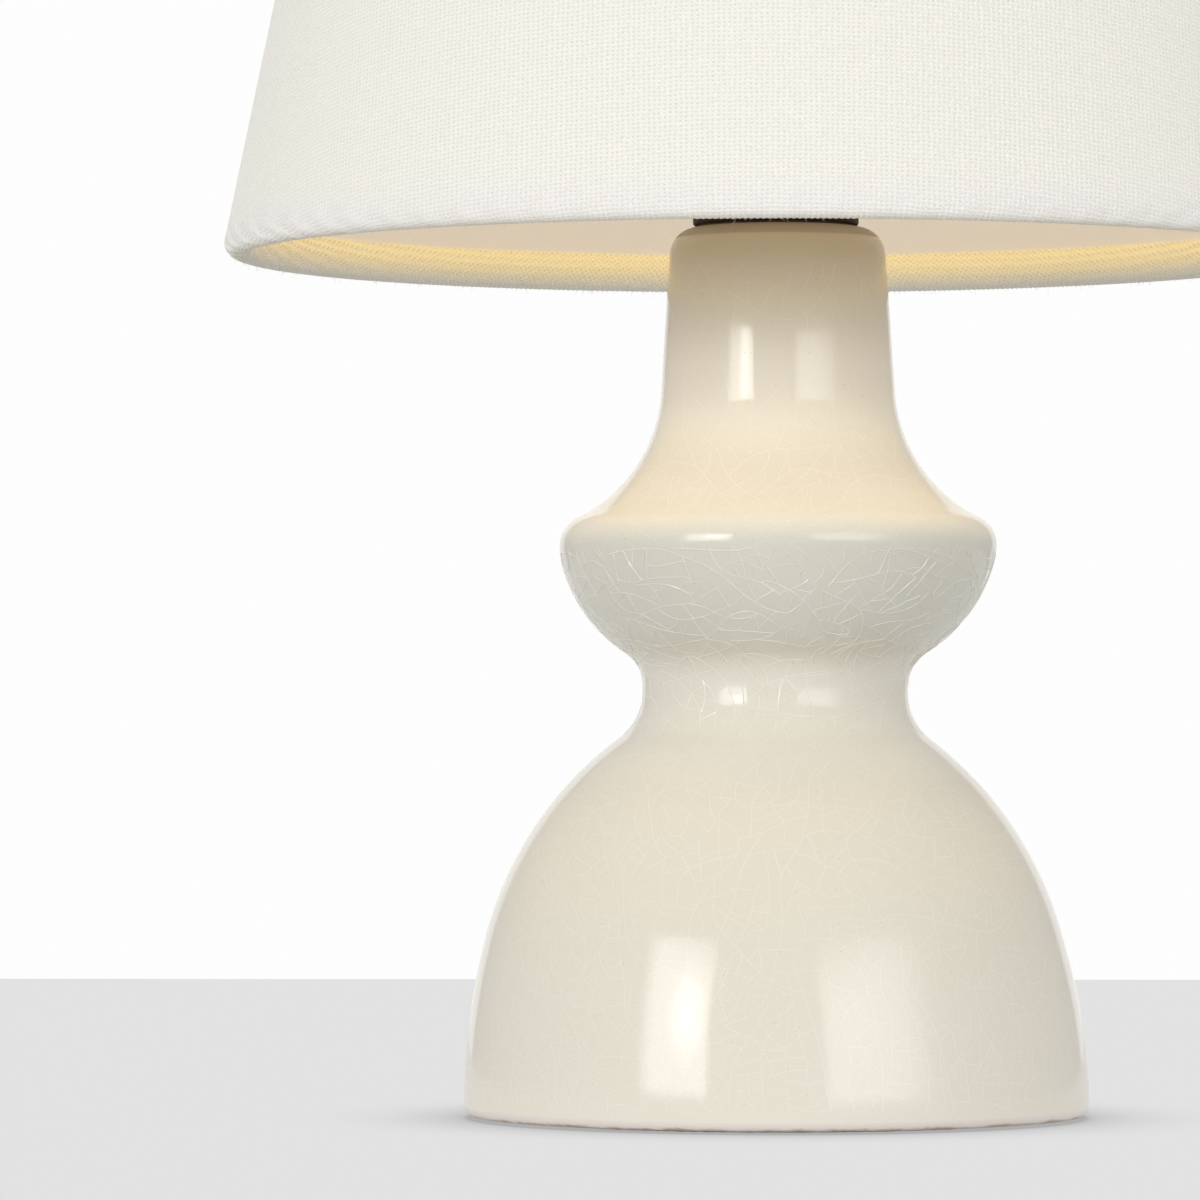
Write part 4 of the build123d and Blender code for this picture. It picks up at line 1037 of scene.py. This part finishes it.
def soft_box(name, bearing, rise, wide, tall, power, core, fade, shines):
    """A soft light, brightest at its core and faded to its outer side, that glossy pieces may mirror."""
    light = bpy.data.lights.new(name, "AREA")
    light.shape = "RECTANGLE"
    light.size = wide
    light.size_y = tall
    light.energy = power
    light.use_nodes = True
    tree = light.node_tree
    across, up, _ = add(tree, "SeparateXYZ", {0: add(tree, "NewGeometry").outputs["Parametric"]}).outputs
    if bearing > 0:
        across = calc(tree, "SUBTRACT", 1.0, across)
    sides = calc(tree, "MULTIPLY", ramp(tree, across, 0.0, fade), ramp(tree, across, 1.0, 0.94))
    ends = calc(tree, "MULTIPLY", ramp(tree, up, 0.0, 0.08), ramp(tree, up, 1.0, 0.72))
    spot = add(tree, "CombineXYZ", {0: across, 1: up}).outputs[0]
    bulb = add(tree, "VectorMath", {0: spot, 1: BOX_CORE}, operation="DISTANCE").outputs["Value"]
    hot = calc(tree, "MULTIPLY_ADD", ramp(tree, bulb, 0.32, 0.03), core, BOX_LEVEL)
    strength = calc(tree, "MULTIPLY", calc(tree, "MULTIPLY", sides, ends), hot)
    tree.links.new(strength, tree.nodes["Emission"].inputs["Strength"])
    lamp = placed(name, light)
    turn, lift = math.radians(bearing), math.radians(rise)
    out = Vector((math.sin(turn) * math.cos(lift), -math.cos(turn) * math.cos(lift), math.sin(lift)))
    lamp.visible_glossy = shines
    lamp.location = BOX_AIM + out * BOX_DISTANCE
    lamp.rotation_euler = out.to_track_quat("Z", "Y").to_euler()


glaze_cracks(thrown_body())
back_seam(shade_cover())
hem_fibres()
felt_pad()
dress(lining_sheet(), "shade_lining")
dress(plain_piece("dark_bronze", (0.055, 0.032, 0.018), 0.6, shine=0.1), "neck_cap")
dress(plain_piece("post_bronze", (0.16, 0.10, 0.06), 0.34, metallic=1.0), "shade_post", "finial")
dress(plain_piece("white_wire", (0.80, 0.79, 0.75), 0.45), "shade_frame", "shade_bottom_ring")
dress(plain_piece("housing_metal", (0.78, 0.77, 0.74), 0.35, metallic=1.0), "light_housing")
dress(lit_opal("opal", (0.92, 0.88, 0.80), LAMP_COLOUR, LAMP_GLOW), "diffuser")
dress(lit_opal("light_chip", (0.90, 0.75, 0.25), LAMP_COLOUR, 2 * LAMP_GLOW), "light_chips")
dress(plain_piece("nylon", (0.78, 0.76, 0.70), 0.5), "shade_washer")
dress(plain_piece("brown_rubber", (0.09, 0.06, 0.04), 0.7), "neck_gasket")
dress(plain_piece("plate_plastic", (0.045, 0.042, 0.04), 0.55, grain=1500.0, relief=0.06), "base_plate")
dress(plain_piece("cradle_plastic", (0.12, 0.12, 0.12), 0.5, grain=1500.0, relief=0.05), "battery_cradle")
dress(plain_piece("button_plastic", (0.52, 0.50, 0.45), 0.4, grain=1500.0, relief=0.04), "power_button")
dress(plain_piece("chip_black", (0.03, 0.03, 0.033), 0.5), "board_parts", "charge_tongue", "switch_case")
dress(
    plain_piece("zinc_steel", (0.62, 0.60, 0.56), 0.32, metallic=1.0),
    "centre_tube",
    "tube_washer",
    "tube_nut",
    "cradle_screws",
    "board_screws",
    "light_screws",
)
dress(plain_piece("nickel", (0.68, 0.65, 0.60), 0.28, metallic=1.0), "cell_tabs", "charge_socket")
dress(plain_piece("cell_wrap", (0.06, 0.20, 0.32), 0.35), "battery_cell_front", "battery_cell_rear")
dress(plain_piece("wire_red", (0.50, 0.04, 0.03), 0.4), "battery_leads")
dress(plain_piece("wire_white", (0.78, 0.76, 0.71), 0.4), "light_leads")
dress(circuit_board("control_board", (0.02, 0.16, 0.06), (0.10, 0.30, 0.12)), "control_board")
dress(circuit_board("light_board_white", (0.82, 0.82, 0.80), (0.72, 0.72, 0.70)), "light_board")
dress(clear_rod(), "charge_light_pipe")

bpy.context.scene.view_settings.view_transform = "Standard"
view_camera()
pale_floor()
white_room()
for box in SOFT_BOXES:
    soft_box(*box)
lamp_downlight()
